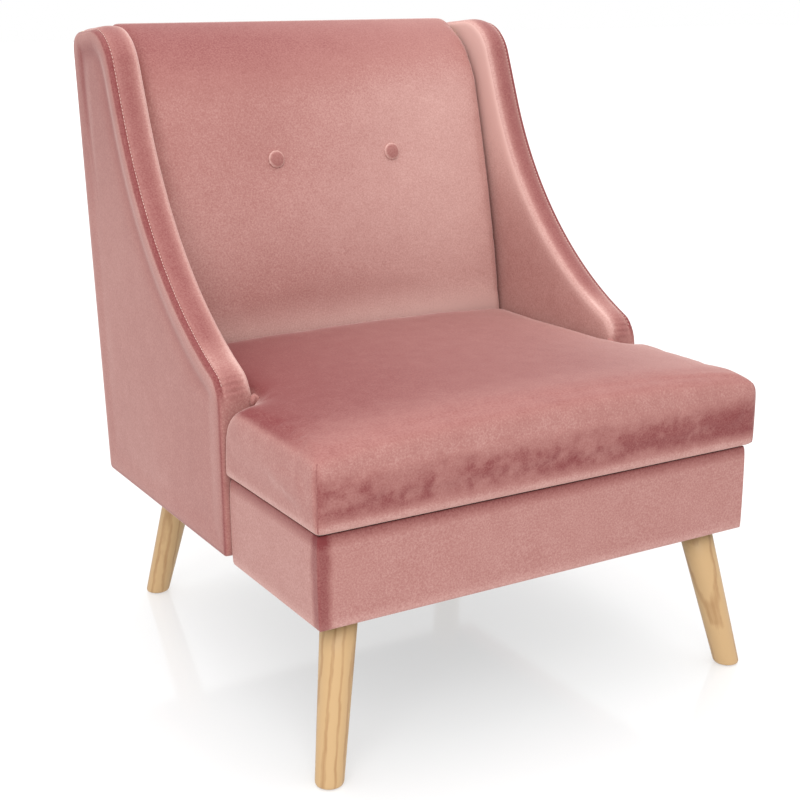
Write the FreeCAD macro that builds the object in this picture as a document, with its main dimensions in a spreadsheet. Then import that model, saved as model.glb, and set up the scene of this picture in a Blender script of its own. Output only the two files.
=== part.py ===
"""Upholstered armchair: panelled arms, sprung seat, webbed back, screw-in legs.

Millimetres. +X is to the right when facing the chair, +Y to its back, +Z up.
The origin is on the floor, under the middle of the chair. Sub-parts called left
lie on the -X side, and each right one mirrors its left one in the plane X = 0.
"""
import FreeCAD, Part
import os
import re
import Sketcher

Vector = FreeCAD.Vector
Rotation = FreeCAD.Rotation

doc = FreeCAD.newDocument("armchair")

# ---------------------------------------------------------------- dimensions
DIMENSIONS = {
    # whole chair
    "OverallWidth": 660,
    "OverallDepth": 736,
    "BackTop": 862,
    "FitGap": 0.3,
    # arm outline, in the Y-Z plane
    "ArmThickness": 47,
    "ArmFront": -116,
    "ArmBottom": 208,
    "ArmTop": 860,
    "NoseY": -79,
    "NoseZ": 415,
    "NoseRadius": 37,
    "SwoopStart": 24,
    "SwoopEnd": 69,
    "SwoopRadius": 530,
    "ShoulderRadius": 75,
    "RearCornerRadius": 40,
    "RearLean": 4.03,
    # arm layers
    "SkinPad": 3,
    "BandPad": 8,
    "PlyThickness": 9,
    # base
    "BaseHalfWidth": 321,
    "BaseFront": -359.5,
    "BaseBottom": 198,
    "BaseTop": 315,
    "BasePad": 6,
    "RailThickness": 18,
    "RailBottom": 201,
    "RailTop": 308,
    "CrossRailTop": 280,
    "RearRailBack": 301,
    "ShoulderGap": 1,
    "DeckTop": 316.7,
    "CoverThickness": 1.3,
    # legs
    "LegHeight": 198,
    "LegSplay": 38,
    "LegFootRadius": 17.5,
    "LegTopRadius": 23,
    "FrontFootX": 311.5,
    "FrontFootY": -355.5,
    "RearFootX": 273.5,
    "RearFootY": 296.5,
    "GlideRadius": 12,
    "GlideDepth": 3,
    "GlideProud": 1.5,
    "BlockSize": 110,
    "BlockHeight": 40,
    "InsertRadius": 6,
    "InsertLength": 25,
    "HangerRadius": 4,
    "HangerLength": 55,
    "HangerInLeg": 32,
    "BoreClearance": 0.05,
    # seat springs
    "SpringCount": 4,
    "SpringSpacing": 118,
    "SpringWire": 1.8,
    "SpringRun": 24,
    "SpringLoops": 20,
    "SpringZ": 296,
    "ClipWidth": 16,
    "ClipDepth": 8,
    "ClipHeight": 10,
    # bolts, washers and tee nuts
    "BoltRadius": 4,
    "BoltHeadRadius": 7,
    "BoltHead": 5,
    "BoltTail": 2,
    "BoltHole": 4.2,
    "WasherRadius": 9,
    "WasherThickness": 1.6,
    "TeeFlangeRadius": 10,
    "TeeFlange": 1.5,
    "TeeBarrelRadius": 5,
    "TeeBarrel": 8,
    "BaseBoltZ": 255,
    "BaseBoltFrontY": -60,
    "BaseBoltRearY": 205,
    "StileBoltLowY": 285,
    "StileBoltLowZ": 450,
    "StileBoltHighY": 300,
    "StileBoltHighZ": 700,
    # back
    "StileWidth": 25,
    "StileFootY": 303.5,
    "StileLowY": 210,
    "StileTopY": 301,
    "StileTop": 838,
    "PanelThickness": 3,
    "PanelMargin": 6,
    "PanelBottom": 212,
    "PanelTop": 848,
    "BackFootY": 156,
    "BackKneeZ": 417,
    "BackBrowZ": 760,
    "BackBrowSideY": 229,
    "BackBrowMiddleY": 212,
    "BackSideRadius": 2050,
    "BackMiddleRadius": 1100,
    "BackBrowRadius": 148,
    "BackCrestY": 322,
    "BackCrestRearY": 350,
    "BackRearTop": 845,
    "BackRearRadius": 24,
    "BackSideDrop": 4,
    "WebbingThickness": 1.2,
    "WebbingWidth": 50,
    "WebbingFoot": 18,
    "WebbingPitch": 88,
    "WebbingCount": 6,
    # buttons
    "ButtonX": 96,
    "ButtonY": 187.5,
    "ButtonZ": 671,
    "ButtonRadius": 11,
    "ButtonHeight": 5,
    "ButtonLean": 12,
    "ButtonPocket": 1.5,
    "TwineRadius": 0.9,
    "TwineHole": 1.4,
    "MiddleRailY": 274,
    "MiddleRailLow": 620,
    "MiddleRailHigh": 684,
    # seat cushion
    "CushionHalfWidth": 324.6,
    "CushionBottom": 317,
    "CushionTop": 420,
    "CushionShoulderY": -117.5,
    "CushionRear": 154.5,
    "CushionEdgeRadius": 12,
    "BoardThickness": 12,
    "BoardInset": 14,
    "WoodGap": 1,
    "CoverGap": 2,
    "SeatGap": 0.5,
    "LumbarLow": 8,
    "LumbarHigh": 68,
    "TopRailHeight": 46.8,
    "FootRailDepth": 16.2,
}

sheet = doc.addObject("Spreadsheet::Sheet", "dims")
for row, (alias, number) in enumerate(DIMENSIONS.items(), start=1):
    sheet.set(f"A{row}", alias)
    sheet.set(f"B{row}", str(number))
    sheet.setAlias(f"B{row}", alias)
doc.recompute()

# Formulas that several sub-parts share, written with the sheet's aliases.
ARM_INNER = "(OverallWidth / 2 - ArmThickness)"
ARM_OUTER = "(OverallWidth / 2)"
NARROW = f"({ARM_INNER} - FitGap)"
FRAME_HALF = "(BaseHalfWidth - BasePad)"
FRAME_FRONT = "(BaseFront + BasePad)"
SHOULDER = "(ArmFront - ShoulderGap)"
STILE_INNER = f"({NARROW} - StileWidth)"
LEG_TILT = "atan(LegSplay * sqrt(2) / LegHeight)"
STILE_SLOPE = "atan((StileTopY - StileLowY) / (StileTop - DeckTop))"
SIDES = {"left": -1, "right": 1}


# ------------------------------------------------------------------- helpers
def dims(formula):
    """The same formula with each alias pointing at the sheet."""
    return re.sub(r"\b([A-Z][A-Za-z]*)\b", r"dims.\1", str(formula))


def value(formula):
    """The number that a formula gives now."""
    result = sheet.evalExpression(dims(formula))
    return float(getattr(result, "Value", result))


def bind(item, name, formula):
    item.setExpression(name, dims(formula))


def rear_face(height):
    """Y of the leaning rear face of the whole chair at a height."""
    return f"(OverallDepth / 2 - (PanelTop - ({height})) * tan(RearLean))"


def arm_rear(height):
    """Y of the arms' rear edge, which the back panel covers."""
    return f"({rear_face(height)} - PanelThickness - FitGap)"


def primitive(kind, label, sizes, base, turn=None, turn_angle=None):
    """A Part primitive with its sizes, place and turn bound to the sheet."""
    item = doc.addObject("Part::" + kind, label)
    if turn is not None:
        item.Placement = FreeCAD.Placement(Vector(), Rotation(turn, value(turn_angle)))
        bind(item, "Placement.Rotation.Angle", turn_angle)
    for name, formula in sizes.items():
        bind(item, name, formula)
    for axis, formula in zip("xyz", base):
        bind(item, "Placement.Base." + axis, formula)
    return item


def block(label, x_span, y_span, z_span):
    """A square-edged box between a low and a high formula on each axis."""
    spans = (x_span, y_span, z_span)
    names = ("Length", "Width", "Height")
    sizes = {name: f"({high}) - ({low})" for name, (low, high) in zip(names, spans)}
    return primitive("Box", label, sizes, [low for low, high in spans])


def rod(label, radius, length, base, turn=None, turn_angle=None):
    return primitive("Cylinder", label, {"Radius": radius, "Height": length}, base, turn, turn_angle)


def combine(kind, label, base, *tools):
    """A boolean that keeps its inputs parametric, applied tool by tool."""
    for number, tool in enumerate(tools, start=1):
        name = label if number == len(tools) else f"{label}_{kind.lower()}_{number}"
        result = doc.addObject("Part::" + kind, name)
        result.Base = base
        result.Tool = tool
        base = result
    return base


def mirrored(item, label):
    twin = doc.addObject("Part::Mirroring", label)
    twin.Source = item
    twin.Normal = Vector(1, 0, 0)
    return twin


def group(label, items):
    """One node that holds several separate solids."""
    bundle = doc.addObject("Part::Compound", label)
    bundle.Links = items
    return bundle


def arc_geometry(start, end, radius):
    """Arc between two points: a positive radius runs anticlockwise, a negative one clockwise."""
    chord = end - start
    sagitta_side = Vector(-chord.y, chord.x, 0).normalize() * (1 if radius > 0 else -1)
    rise = (radius ** 2 - (chord.Length / 2) ** 2) ** 0.5
    centre = (start + end) * 0.5 + sagitta_side * rise
    first, last = (start, end) if radius > 0 else (end, start)
    circle = Part.Circle(centre, Vector(0, 0, 1), abs(radius))
    return Part.ArcOfCircle(circle, circle.parameter(first), circle.parameter(last))


def outline(body, role, corners, offset="0", name="outline"):
    """A closed sketch through corners on one of the body's own origin planes.

    A corner is (first, second), or (first, second, radius) when an arc leaves it.
    Every corner and radius is a constraint bound to the sheet.
    """
    sketch = body.newObject("Sketcher::SketchObject", f"{body.Name}_{name}")
    plane = next(item for item in body.Origin.OriginFeatures if item.Role == role)
    sketch.AttachmentSupport = [(plane, "")]
    sketch.MapMode = "FlatFace"
    bind(sketch, "AttachmentOffset.Base.z", offset)
    points = [Vector(value(corner[0]), value(corner[1]), 0) for corner in corners]
    ends = []
    for index, corner in enumerate(corners):
        start = points[index]
        end = points[(index + 1) % len(points)]
        if len(corner) == 2:
            sketch.addGeometry(Part.LineSegment(start, end))
            ends.append((1, 2))
        else:
            radius = value(corner[2])
            sketch.addGeometry(arc_geometry(start, end, radius))
            ends.append((1, 2) if radius > 0 else (2, 1))
    for index, corner in enumerate(corners):
        following = (index + 1) % len(corners)
        link = Sketcher.Constraint("Coincident", index, ends[index][1], following, ends[following][0])
        sketch.addConstraint(link)
        for axis, formula in zip("XY", corner):
            size = Sketcher.Constraint("Distance" + axis, -1, 1, index, ends[index][0], value(formula))
            bind_constraint(sketch, size, f"corner_{index}_{axis}", formula)
        if len(corner) == 3:
            size = Sketcher.Constraint("Radius", index, abs(value(corner[2])))
            bind_constraint(sketch, size, f"radius_{index}", f"abs({corner[2]})")
    return sketch


def bind_constraint(sketch, constraint, name, formula):
    number = sketch.addConstraint(constraint)
    sketch.renameConstraint(number, name)
    bind(sketch, "Constraints." + name, formula)


def circles(body, role, centres, radius, offset="0", name="holes"):
    """A sketch of equal circles, each centre and radius bound to the sheet."""
    sketch = body.newObject("Sketcher::SketchObject", f"{body.Name}_{name}")
    plane = next(item for item in body.Origin.OriginFeatures if item.Role == role)
    sketch.AttachmentSupport = [(plane, "")]
    sketch.MapMode = "FlatFace"
    bind(sketch, "AttachmentOffset.Base.z", offset)
    for index, (first, second) in enumerate(centres):
        centre = Vector(value(first), value(second), 0)
        sketch.addGeometry(Part.Circle(centre, Vector(0, 0, 1), value(radius)))
        for axis, formula in zip("XY", (first, second)):
            size = Sketcher.Constraint("Distance" + axis, -1, 1, index, 3, value(formula))
            bind_constraint(sketch, size, f"centre_{index}_{axis}", formula)
        size = Sketcher.Constraint("Radius", index, value(radius))
        bind_constraint(sketch, size, f"radius_{index}", radius)
    return sketch


def padded_body(label, role, corners, offset, thickness):
    """A PartDesign body: one outline padded along its plane's normal."""
    body = doc.addObject("PartDesign::Body", label)
    sketch = outline(body, role, corners, offset)
    pad = body.newObject("PartDesign::Pad", label + "_pad")
    pad.Profile = sketch
    bind(pad, "Length", thickness)
    sketch.Visibility = False
    return body


def pocket(body, sketch, depth, reverse):
    """Cut a sketch into a body and confirm that it removed material."""
    doc.recompute()
    before = body.Shape.Volume
    cut = body.newObject("PartDesign::Pocket", sketch.Name + "_pocket")
    cut.Profile = sketch
    cut.Reversed = reverse
    bind(cut, "Length", depth)
    doc.recompute()
    if body.Shape.Volume >= before:
        raise RuntimeError(f"{cut.Name} removes nothing")
    return cut


def tee_outline(half_width, front, shoulder, narrow, rear):
    """Plan of the wide front and the narrower part between the arms."""
    return [
        (f"-({half_width})", front),
        (half_width, front),
        (half_width, shoulder),
        (narrow, shoulder),
        (narrow, rear),
        (f"-({narrow})", rear),
        (f"-({narrow})", shoulder),
        (f"-({half_width})", shoulder),
    ]


nodes = {}


def keep(item):
    nodes[item.Label] = item
    return item


def keep_pair(item, stem):
    """Keep a left sub-part and its mirror image."""
    keep(item)
    return item, keep(mirrored(item, stem + "_right"))


# ------------------------------------------------------------- base box frame
RAIL_HEIGHT = ("RailBottom", "RailTop")
FRONT_BAY = (f"{FRAME_FRONT} + RailThickness", f"{SHOULDER} - RailThickness")
BASE_BOLTS = [("BaseBoltFrontY", "BaseBoltZ"), ("BaseBoltRearY", "BaseBoltZ")]
STILE_BOLTS = [("StileBoltLowY", "StileBoltLowZ"), ("StileBoltHighY", "StileBoltHighZ")]


def cross_holes(label, places, radius, x_low, length):
    """Rods along X, used to bore rails and plies."""
    rods = []
    for number, (y, z) in enumerate(places, start=1):
        rods.append(rod(f"{label}_{number}", radius, length, (x_low, y, z), Vector(0, 1, 0), "90"))
    return rods


def make_base_frame():
    full = (f"-{FRAME_HALF}", FRAME_HALF)
    keep(block("base_front_rail", full, (FRAME_FRONT, FRONT_BAY[0]), RAIL_HEIGHT))
    keep(block("base_cross_rail", full, (FRONT_BAY[1], SHOULDER), ("RailBottom", "CrossRailTop")))
    rear = ("RearRailBack - RailThickness", "RearRailBack")
    keep(block("base_rear_rail", (f"-{NARROW}", NARROW), rear, RAIL_HEIGHT))
    front_side = (f"-{FRAME_HALF}", f"-{FRAME_HALF} + RailThickness")
    side = block("base_side_rail_front_left", front_side, FRONT_BAY, RAIL_HEIGHT)
    keep_pair(side, "base_side_rail_front")
    rear_side = (f"-{NARROW}", f"-{NARROW} + RailThickness")
    blank = block("base_side_rail_rear_blank", rear_side, (SHOULDER, rear[0]), RAIL_HEIGHT)
    bores = cross_holes("base_rail_bore", BASE_BOLTS, "BoltHole", f"-{ARM_INNER}", "RailThickness * 2")
    side = combine("Cut", "base_side_rail_rear_left", blank, *bores)
    keep_pair(side, "base_side_rail_rear")


# ------------------------------------------------------------------- the legs
CORNERS = {
    "front_left": (-1, -1, "FrontFootX", "FrontFootY", FRAME_HALF, FRONT_BAY[0]),
    "front_right": (1, -1, "FrontFootX", "FrontFootY", FRAME_HALF, FRONT_BAY[0]),
    "rear_left": (-1, 1, "RearFootX", "RearFootY", NARROW, "RearRailBack - RailThickness"),
    "rear_right": (1, 1, "RearFootX", "RearFootY", NARROW, "RearRailBack - RailThickness"),
}
LEG_LENGTH = f"(LegHeight / cos({LEG_TILT}))"


def on_leg_axis(corner, height):
    """Point on a leg's leaning axis at a height above the floor."""
    side, end, foot_x, foot_y, _, _ = CORNERS[corner]
    lean = f"LegSplay * ({height}) / LegHeight"
    return (f"{side} * ({foot_x} - {lean})", f"{foot_y} - {end} * {lean}", height)


def leg_turn(corner):
    """Axis about which an upright rod turns to lie along a leg."""
    side, end = CORNERS[corner][:2]
    return Vector(end, -side, 0)


def leg_rod(label, corner, radius, length, start_height):
    """A rod along a leg's axis, starting at a height above the floor."""
    start = on_leg_axis(corner, start_height)
    return rod(label, radius, length, start, leg_turn(corner), LEG_TILT)


def make_leg(corner):
    name = "leg_" + corner
    spare = "BlockSize / 2"
    taper = f"(LegTopRadius - LegFootRadius) / {LEG_LENGTH}"
    sizes = {
        "Radius1": f"LegFootRadius - {taper} * {spare}",
        "Radius2": f"LegTopRadius + {taper} * {spare}",
        "Height": f"{LEG_LENGTH} + 2 * {spare}",
    }
    start = on_leg_axis(corner, f"-{spare} * cos({LEG_TILT})")
    cone = primitive("Cone", name + "_taper", sizes, start, leg_turn(corner), LEG_TILT)
    foot = on_leg_axis(corner, "0")
    slab_x = (f"{foot[0]} - BlockSize", f"{foot[0]} + BlockSize")
    slab_y = (f"{foot[1]} - BlockSize", f"{foot[1]} + BlockSize")
    slab = block(name + "_slab", slab_x, slab_y, ("GlideProud", "RailBottom"))
    blank = combine("Common", name + "_blank", cone, slab)
    recess = rod(name + "_recess", "GlideRadius", "GlideDepth", (foot[0], foot[1], "0"))
    bore_start = f"RailBottom - HangerInLeg * cos({LEG_TILT})"
    bore = leg_rod(name + "_bore", corner, "HangerRadius", "HangerLength", bore_start)
    keep(combine("Cut", name, blank, recess, bore))


def make_leg_block(corner):
    name = "leg_block_" + corner
    side, end, _, _, half, inner_y = CORNERS[corner]
    wall = f"{half} - RailThickness"
    x_span = (f"{wall} - BlockSize", wall)
    if side < 0:
        x_span = (f"-({wall})", f"BlockSize - ({wall})")
    y_span = (inner_y, f"{inner_y} + BlockSize")
    if end > 0:
        y_span = (f"{inner_y} - BlockSize", inner_y)
    blank = block(name + "_blank", x_span, y_span, ("RailBottom", "RailBottom + BlockHeight"))
    bore = leg_rod(name + "_bore", corner, "InsertRadius", "BlockSize", "LegHeight - BlockHeight")
    keep(combine("Cut", name, blank, bore))


def make_leg_hardware():
    inserts = []
    hangers = []
    glides = []
    for corner in CORNERS:
        sleeve = leg_rod("insert_sleeve_" + corner, corner, "InsertRadius", "InsertLength", "RailBottom + CoverGap")
        radius = "HangerRadius + BoreClearance"
        inner = leg_rod("insert_bore_" + corner, corner, radius, "BlockSize", "LegHeight - BlockHeight")
        inserts.append(combine("Cut", "insert_" + corner, sleeve, inner))
        start = f"RailBottom - HangerInLeg * cos({LEG_TILT})"
        hangers.append(leg_rod("hanger_" + corner, corner, "HangerRadius", "HangerLength", start))
        foot = on_leg_axis(corner, "0")
        glides.append(rod("glide_" + corner, "GlideRadius", "GlideDepth", foot))
    keep(group("leg_inserts", inserts))
    keep(group("leg_hanger_bolts", hangers))
    keep(group("foot_glides", glides))


# ------------------------------------------- seat springs, deck and dust cover
def spring_path(x_centre, front, rear):
    """Flat zigzag of straight runs and half-circle turns, in one wire."""
    loops = int(value("SpringLoops"))
    radius = (rear - front) / (2 * loops)
    half = value("SpringRun") / 2
    level = value("SpringZ")
    edges = []
    for loop in range(loops + 1):
        side = 1 if loop % 2 else -1
        y = front + 2 * radius * loop
        near = Vector(x_centre + side * half, y, level)
        far = Vector(x_centre - side * half, y, level)
        edges.append(Part.LineSegment(near, far).toShape())
        if loop < loops:
            tip = Vector(x_centre - side * (half + radius), y + radius, level)
            turn_end = Vector(x_centre - side * half, y + 2 * radius, level)
            edges.append(Part.Arc(far, tip, turn_end).toShape())
    return Part.Wire(edges)


def make_springs():
    count = int(value("SpringCount"))
    wire_radius = value("SpringWire")
    middle = "ClipDepth / 2"
    front = value(f"{FRAME_FRONT} + RailThickness + {middle}")
    rear = value(f"RearRailBack - RailThickness - {middle}")
    solids = []
    clips = []
    for number in range(count):
        place = number - (count - 1) / 2
        path = spring_path(value(f"SpringSpacing * {place}"), front, rear)
        start = path.Edges[0].valueAt(path.Edges[0].FirstParameter)
        section = Part.Wire(Part.makeCircle(wire_radius, start, path.Edges[0].tangentAt(0)))
        solids.append(path.makePipeShell([section], True, False))
        x_span = (f"SpringSpacing * {place} - ClipWidth / 2", f"SpringSpacing * {place} + ClipWidth / 2")
        z_span = ("SpringZ - ClipHeight / 2", "SpringZ + ClipHeight / 2")
        ends = (
            (f"{FRAME_FRONT} + RailThickness", f"{FRAME_FRONT} + RailThickness + ClipDepth"),
            ("RearRailBack - RailThickness - ClipDepth", "RearRailBack - RailThickness"),
        )
        for end, y_span in enumerate(ends):
            name = f"clip_{number + 1}_{end + 1}"
            clip = block(name + "_blank", x_span, y_span, z_span)
            seat = (x_span[0], f"{y_span[0]} + {middle}", "SpringZ")
            hole = rod(name + "_hole", "SpringWire", "ClipWidth", seat, Vector(0, 1, 0), "90")
            clips.append(combine("Cut", name, clip, hole))
    springs = doc.addObject("Part::Feature", "seat_springs")
    springs.Shape = Part.Compound(solids)
    springs.Placement = FreeCAD.Placement()
    keep(springs)
    keep(group("spring_clips", clips))


def make_deck():
    plan = tee_outline(FRAME_HALF, FRAME_FRONT, SHOULDER, NARROW, "RearRailBack")
    keep(padded_body("deck_pad", "XY_Plane", plan, "RailTop", "DeckTop - RailTop"))
    cover = padded_body("dust_cover", "XY_Plane", plan, "RailBottom - CoverThickness", "CoverThickness")
    centres = [on_leg_axis(corner, "RailBottom")[:2] for corner in CORNERS]
    holes = circles(cover, "XY_Plane", centres, "LegTopRadius + CoverGap", "RailBottom")
    pocket(cover, holes, "CoverThickness * 2", False)
    keep(cover)


def make_base_pads():
    wide = ("-BaseHalfWidth", "BaseHalfWidth")
    height = ("BaseBottom", "BaseTop")
    keep(block("base_pad_front", wide, ("BaseFront", FRAME_FRONT), height))
    side = block("base_pad_left", ("-BaseHalfWidth", f"-{FRAME_HALF}"), (FRAME_FRONT, SHOULDER), height)
    keep_pair(side, "base_pad")


# ------------------------------------------------------------------- the arms
def arm_outline(inset, overrun="0"):
    """Side view of an arm: nose, long hollow swoop, shoulder and leaning rear edge.

    The inset moves the padded front and top edges inward. The overrun moves the flat
    bottom and rear edges outward, for cutting.
    """
    nose = f"(NoseRadius - {inset})"
    swoop = f"(SwoopRadius + {inset})"
    shoulder = f"(ShoulderRadius - {inset})"
    swoop_y = "(NoseY - (NoseRadius + SwoopRadius) * sin(SwoopStart))"
    swoop_z = "(NoseZ + (NoseRadius + SwoopRadius) * cos(SwoopStart))"
    reach = "(SwoopRadius + ShoulderRadius)"
    shoulder_z = "(ArmTop - ShoulderRadius)"
    straight = f"(({shoulder_z} - {swoop_z} + {reach} * cos(SwoopEnd)) / sin(SwoopEnd))"
    shoulder_y = f"({swoop_y} + {reach} * sin(SwoopEnd) + {straight} * cos(SwoopEnd))"
    top = f"(ArmTop - {inset})"
    rear_top = f"({top} - RearCornerRadius)"
    rear_y = f"({arm_rear(rear_top)} + {overrun} - RearCornerRadius / cos(RearLean))"
    floor = f"(ArmBottom - {overrun})"
    return [
        (f"ArmFront + {inset}", floor),
        (f"ArmFront + {inset}", "NoseZ", f"-{nose}"),
        (f"NoseY - {nose} * sin(SwoopStart)", f"NoseZ + {nose} * cos(SwoopStart)", swoop),
        (f"{swoop_y} + {swoop} * sin(SwoopEnd)", f"{swoop_z} - {swoop} * cos(SwoopEnd)"),
        (
            f"{shoulder_y} - {shoulder} * sin(SwoopEnd)",
            f"{shoulder_z} + {shoulder} * cos(SwoopEnd)",
            f"-{shoulder}",
        ),
        (shoulder_y, top),
        (rear_y, top, "-RearCornerRadius"),
        (f"{rear_y} + RearCornerRadius * cos(RearLean)", f"{rear_top} - RearCornerRadius * sin(RearLean)"),
        (f"{arm_rear(floor)} + {overrun}", floor),
    ]


def arm_layer(stem, inset, inner, thickness, bore_radius=None):
    """One flat layer of the left arm, its inner face at a depth from the arm's inner side."""
    outer_x = f"-({ARM_INNER} + {inner} + {thickness})"
    body = padded_body(stem + "_left", "YZ_Plane", arm_outline(inset), outer_x, thickness)
    if bore_radius:
        centres = BASE_BOLTS + STILE_BOLTS
        holes = circles(body, "YZ_Plane", centres, bore_radius, outer_x)
        pocket(body, holes, thickness, True)
    return body


def batten(label, y_span, z_span, layer, lean=None):
    """A straight wooden spacer between the two plies of the left arm."""
    x_span = (f"-({layer[1]})", f"-({layer[0]})")
    item = block(label, x_span, y_span, z_span)
    if lean:
        item.Placement = FreeCAD.Placement(Vector(), Rotation(Vector(-1, 0, 0), value(lean)))
        bind(item, "Placement.Rotation.Angle", lean)
        for axis, (low, _) in zip("xyz", (x_span, y_span, z_span)):
            bind(item, "Placement.Base." + axis, low)
    return item


def make_arms():
    keep_pair(arm_layer("arm_inner_pad", "0", "0", "SkinPad", "TeeBarrelRadius"), "arm_inner_pad")
    ply = arm_layer("arm_inner_ply", "BandPad", "SkinPad", "PlyThickness", "TeeBarrelRadius")
    keep_pair(ply, "arm_inner_ply")
    outer_ply = "(ArmThickness - SkinPad - PlyThickness)"
    keep_pair(arm_layer("arm_outer_ply", "BandPad", outer_ply, "PlyThickness"), "arm_outer_ply")
    outer_pad = "(ArmThickness - SkinPad)"
    keep_pair(arm_layer("arm_outer_pad", "0", outer_pad, "SkinPad"), "arm_outer_pad")

    band = arm_layer("arm_band_pad", "0", "SkinPad", "(ArmThickness - 2 * SkinPad)")
    core = outline(band, "YZ_Plane", arm_outline("BandPad", "BandPad"), f"-({ARM_OUTER})", "core")
    pocket(band, core, "ArmThickness", True)
    keep_pair(band, "arm_band_pad")

    layer = (f"{ARM_INNER} + SkinPad + PlyThickness", f"{ARM_INNER} + {outer_ply}")
    edge = "(BandPad + RailThickness / 10)"
    front = f"ArmFront + {edge}"
    floor = "ArmBottom + BoltTail"
    rear = f"{arm_rear(floor)} - RailThickness - BandPad"
    pieces = [
        batten("bottom_batten", (front, rear), (floor, f"{floor} + RailThickness"), layer),
        batten("front_batten", (front, f"{front} + RailThickness"), (f"{floor} + RailThickness", "NoseZ"), layer),
        batten(
            "rear_batten",
            (f"{arm_rear(floor)} - RailThickness - BoltTail", f"{arm_rear(floor)} - BoltTail"),
            (floor, "ArmTop - 2 * RearCornerRadius"),
            layer,
            "RearLean",
        ),
    ]
    keep_pair(group("arm_battens_left", pieces), "arm_battens")


# --------------------------------------------- bolts that join arms to the rest
def bolt(label, place, head_x, grip):
    """A hexagon-headed bolt that runs outward along -X from its washer."""
    y, z = place
    outward = (Vector(0, -1, 0), "90")
    length = f"{grip} + WasherThickness + BoltTail"
    head = primitive(
        "Prism",
        label + "_head",
        {"Circumradius": "BoltHeadRadius", "Height": "BoltHead"},
        (f"{head_x} + WasherThickness + BoltHead", y, z),
        *outward,
    )
    shank_base = (f"{head_x} + WasherThickness", y, z)
    shank = rod(label + "_shank", "BoltRadius", length, shank_base, *outward)
    return combine("Fuse", label, head, shank)


def ring(label, radius, bore, length, base):
    outward = (Vector(0, -1, 0), "90")
    disc = rod(label + "_disc", radius, length, base, *outward)
    hole = rod(label + "_hole", bore, length, base, *outward)
    return combine("Cut", label, disc, hole)


def tee_nut(label, place):
    """A flange on the far side of the inner ply and a barrel let into it."""
    y, z = place
    ply_face = f"-({ARM_INNER} + SkinPad + PlyThickness)"
    outward = (Vector(0, -1, 0), "90")
    flange = rod(label + "_flange", "TeeFlangeRadius", "TeeFlange", (ply_face, y, z), *outward)
    barrel = rod(label + "_barrel", "TeeBarrelRadius", "TeeBarrel", (f"{ply_face} + TeeBarrel", y, z), *outward)
    blank = combine("Fuse", label + "_blank", flange, barrel)
    bore = rod(
        label + "_bore",
        "BoltRadius + BoreClearance",
        "PlyThickness * 2",
        (f"{ply_face} + TeeBarrel", y, z),
        *outward,
    )
    return combine("Cut", label, blank, bore)


def make_fasteners(stem, places, wood, head_x):
    """Bolts, washers and tee nuts on the left, and the same ones mirrored."""
    grip = f"({wood} + FitGap + SkinPad + PlyThickness)"
    kinds = {"bolts": [], "washers": [], "tee_nuts": []}
    for number, place in enumerate(places, start=1):
        tag = f"{stem}_{number}"
        kinds["bolts"].append(bolt(tag + "_bolt", place, head_x, grip))
        base = (f"{head_x} + WasherThickness", *place)
        kinds["washers"].append(ring(tag + "_washer", "WasherRadius", "BoltHole", "WasherThickness", base))
        kinds["tee_nuts"].append(tee_nut(tag + "_tee_nut", place))
    for kind, items in kinds.items():
        twins = [mirrored(item, item.Label + "_right") for item in items]
        keep(group(f"{stem}_{kind}", items + twins))


# ------------------------------------------------------------------- the back
def front_line(height):
    """Y of the stiles' sloping front edge at a height."""
    return f"(StileLowY + (({height}) - DeckTop) * tan({STILE_SLOPE}))"


def make_stiles():
    foot = "ArmBottom + WoodGap"
    corners = [
        ("StileFootY", foot),
        ("StileFootY", "DeckTop + WoodGap"),
        (front_line("DeckTop + WoodGap"), "DeckTop + WoodGap"),
        ("StileTopY", "StileTop"),
        (arm_rear("StileTop"), "StileTop"),
        (arm_rear(foot), foot),
    ]
    body = padded_body("back_stile_left", "YZ_Plane", corners, f"-{NARROW}", "StileWidth")
    holes = circles(body, "YZ_Plane", STILE_BOLTS, "BoltHole", f"-{NARROW}")
    pocket(body, holes, "StileWidth", True)
    keep_pair(body, "back_stile")


def make_back_rails():
    span = (f"-{STILE_INNER}", STILE_INNER)
    top_low = "StileTop - TopRailHeight"
    top_y = ("StileTopY + CoverGap", f"{arm_rear(top_low)} - WoodGap")
    keep(block("back_top_rail", span, top_y, (top_low, "StileTop")))
    middle_y = ("MiddleRailY", "MiddleRailY + RailThickness")
    keep(block("back_middle_rail", span, middle_y, ("MiddleRailLow", "MiddleRailHigh")))
    lumbar_z = ("DeckTop + LumbarLow", "DeckTop + LumbarHigh")
    lumbar_front = f"{front_line(lumbar_z[1])} + CoverGap"
    lumbar_y = (lumbar_front, f"{lumbar_front} + RailThickness")
    keep(block("back_lumbar_rail", span, lumbar_y, lumbar_z))
    foot_y = ("StileFootY", "StileFootY + FootRailDepth")
    keep(block("back_foot_rail", span, foot_y, ("ArmBottom + WoodGap", "RailTop")))


def make_webbing():
    """Level elastic bands across the stiles' front edges."""
    bands = []
    for number in range(int(value("WebbingCount"))):
        height = f"(DeckTop + WebbingFoot + WebbingPitch * {number})"
        band = primitive(
            "Box",
            f"webbing_band_{number + 1}",
            {"Length": f"2 * {NARROW}", "Width": "WebbingThickness", "Height": "WebbingWidth"},
            (f"-{NARROW}", f"{front_line(height)} - WebbingThickness / cos({STILE_SLOPE})", height),
            Vector(-1, 0, 0),
            STILE_SLOPE,
        )
        bands.append(band)
    keep(group("back_webbing", bands))


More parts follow.
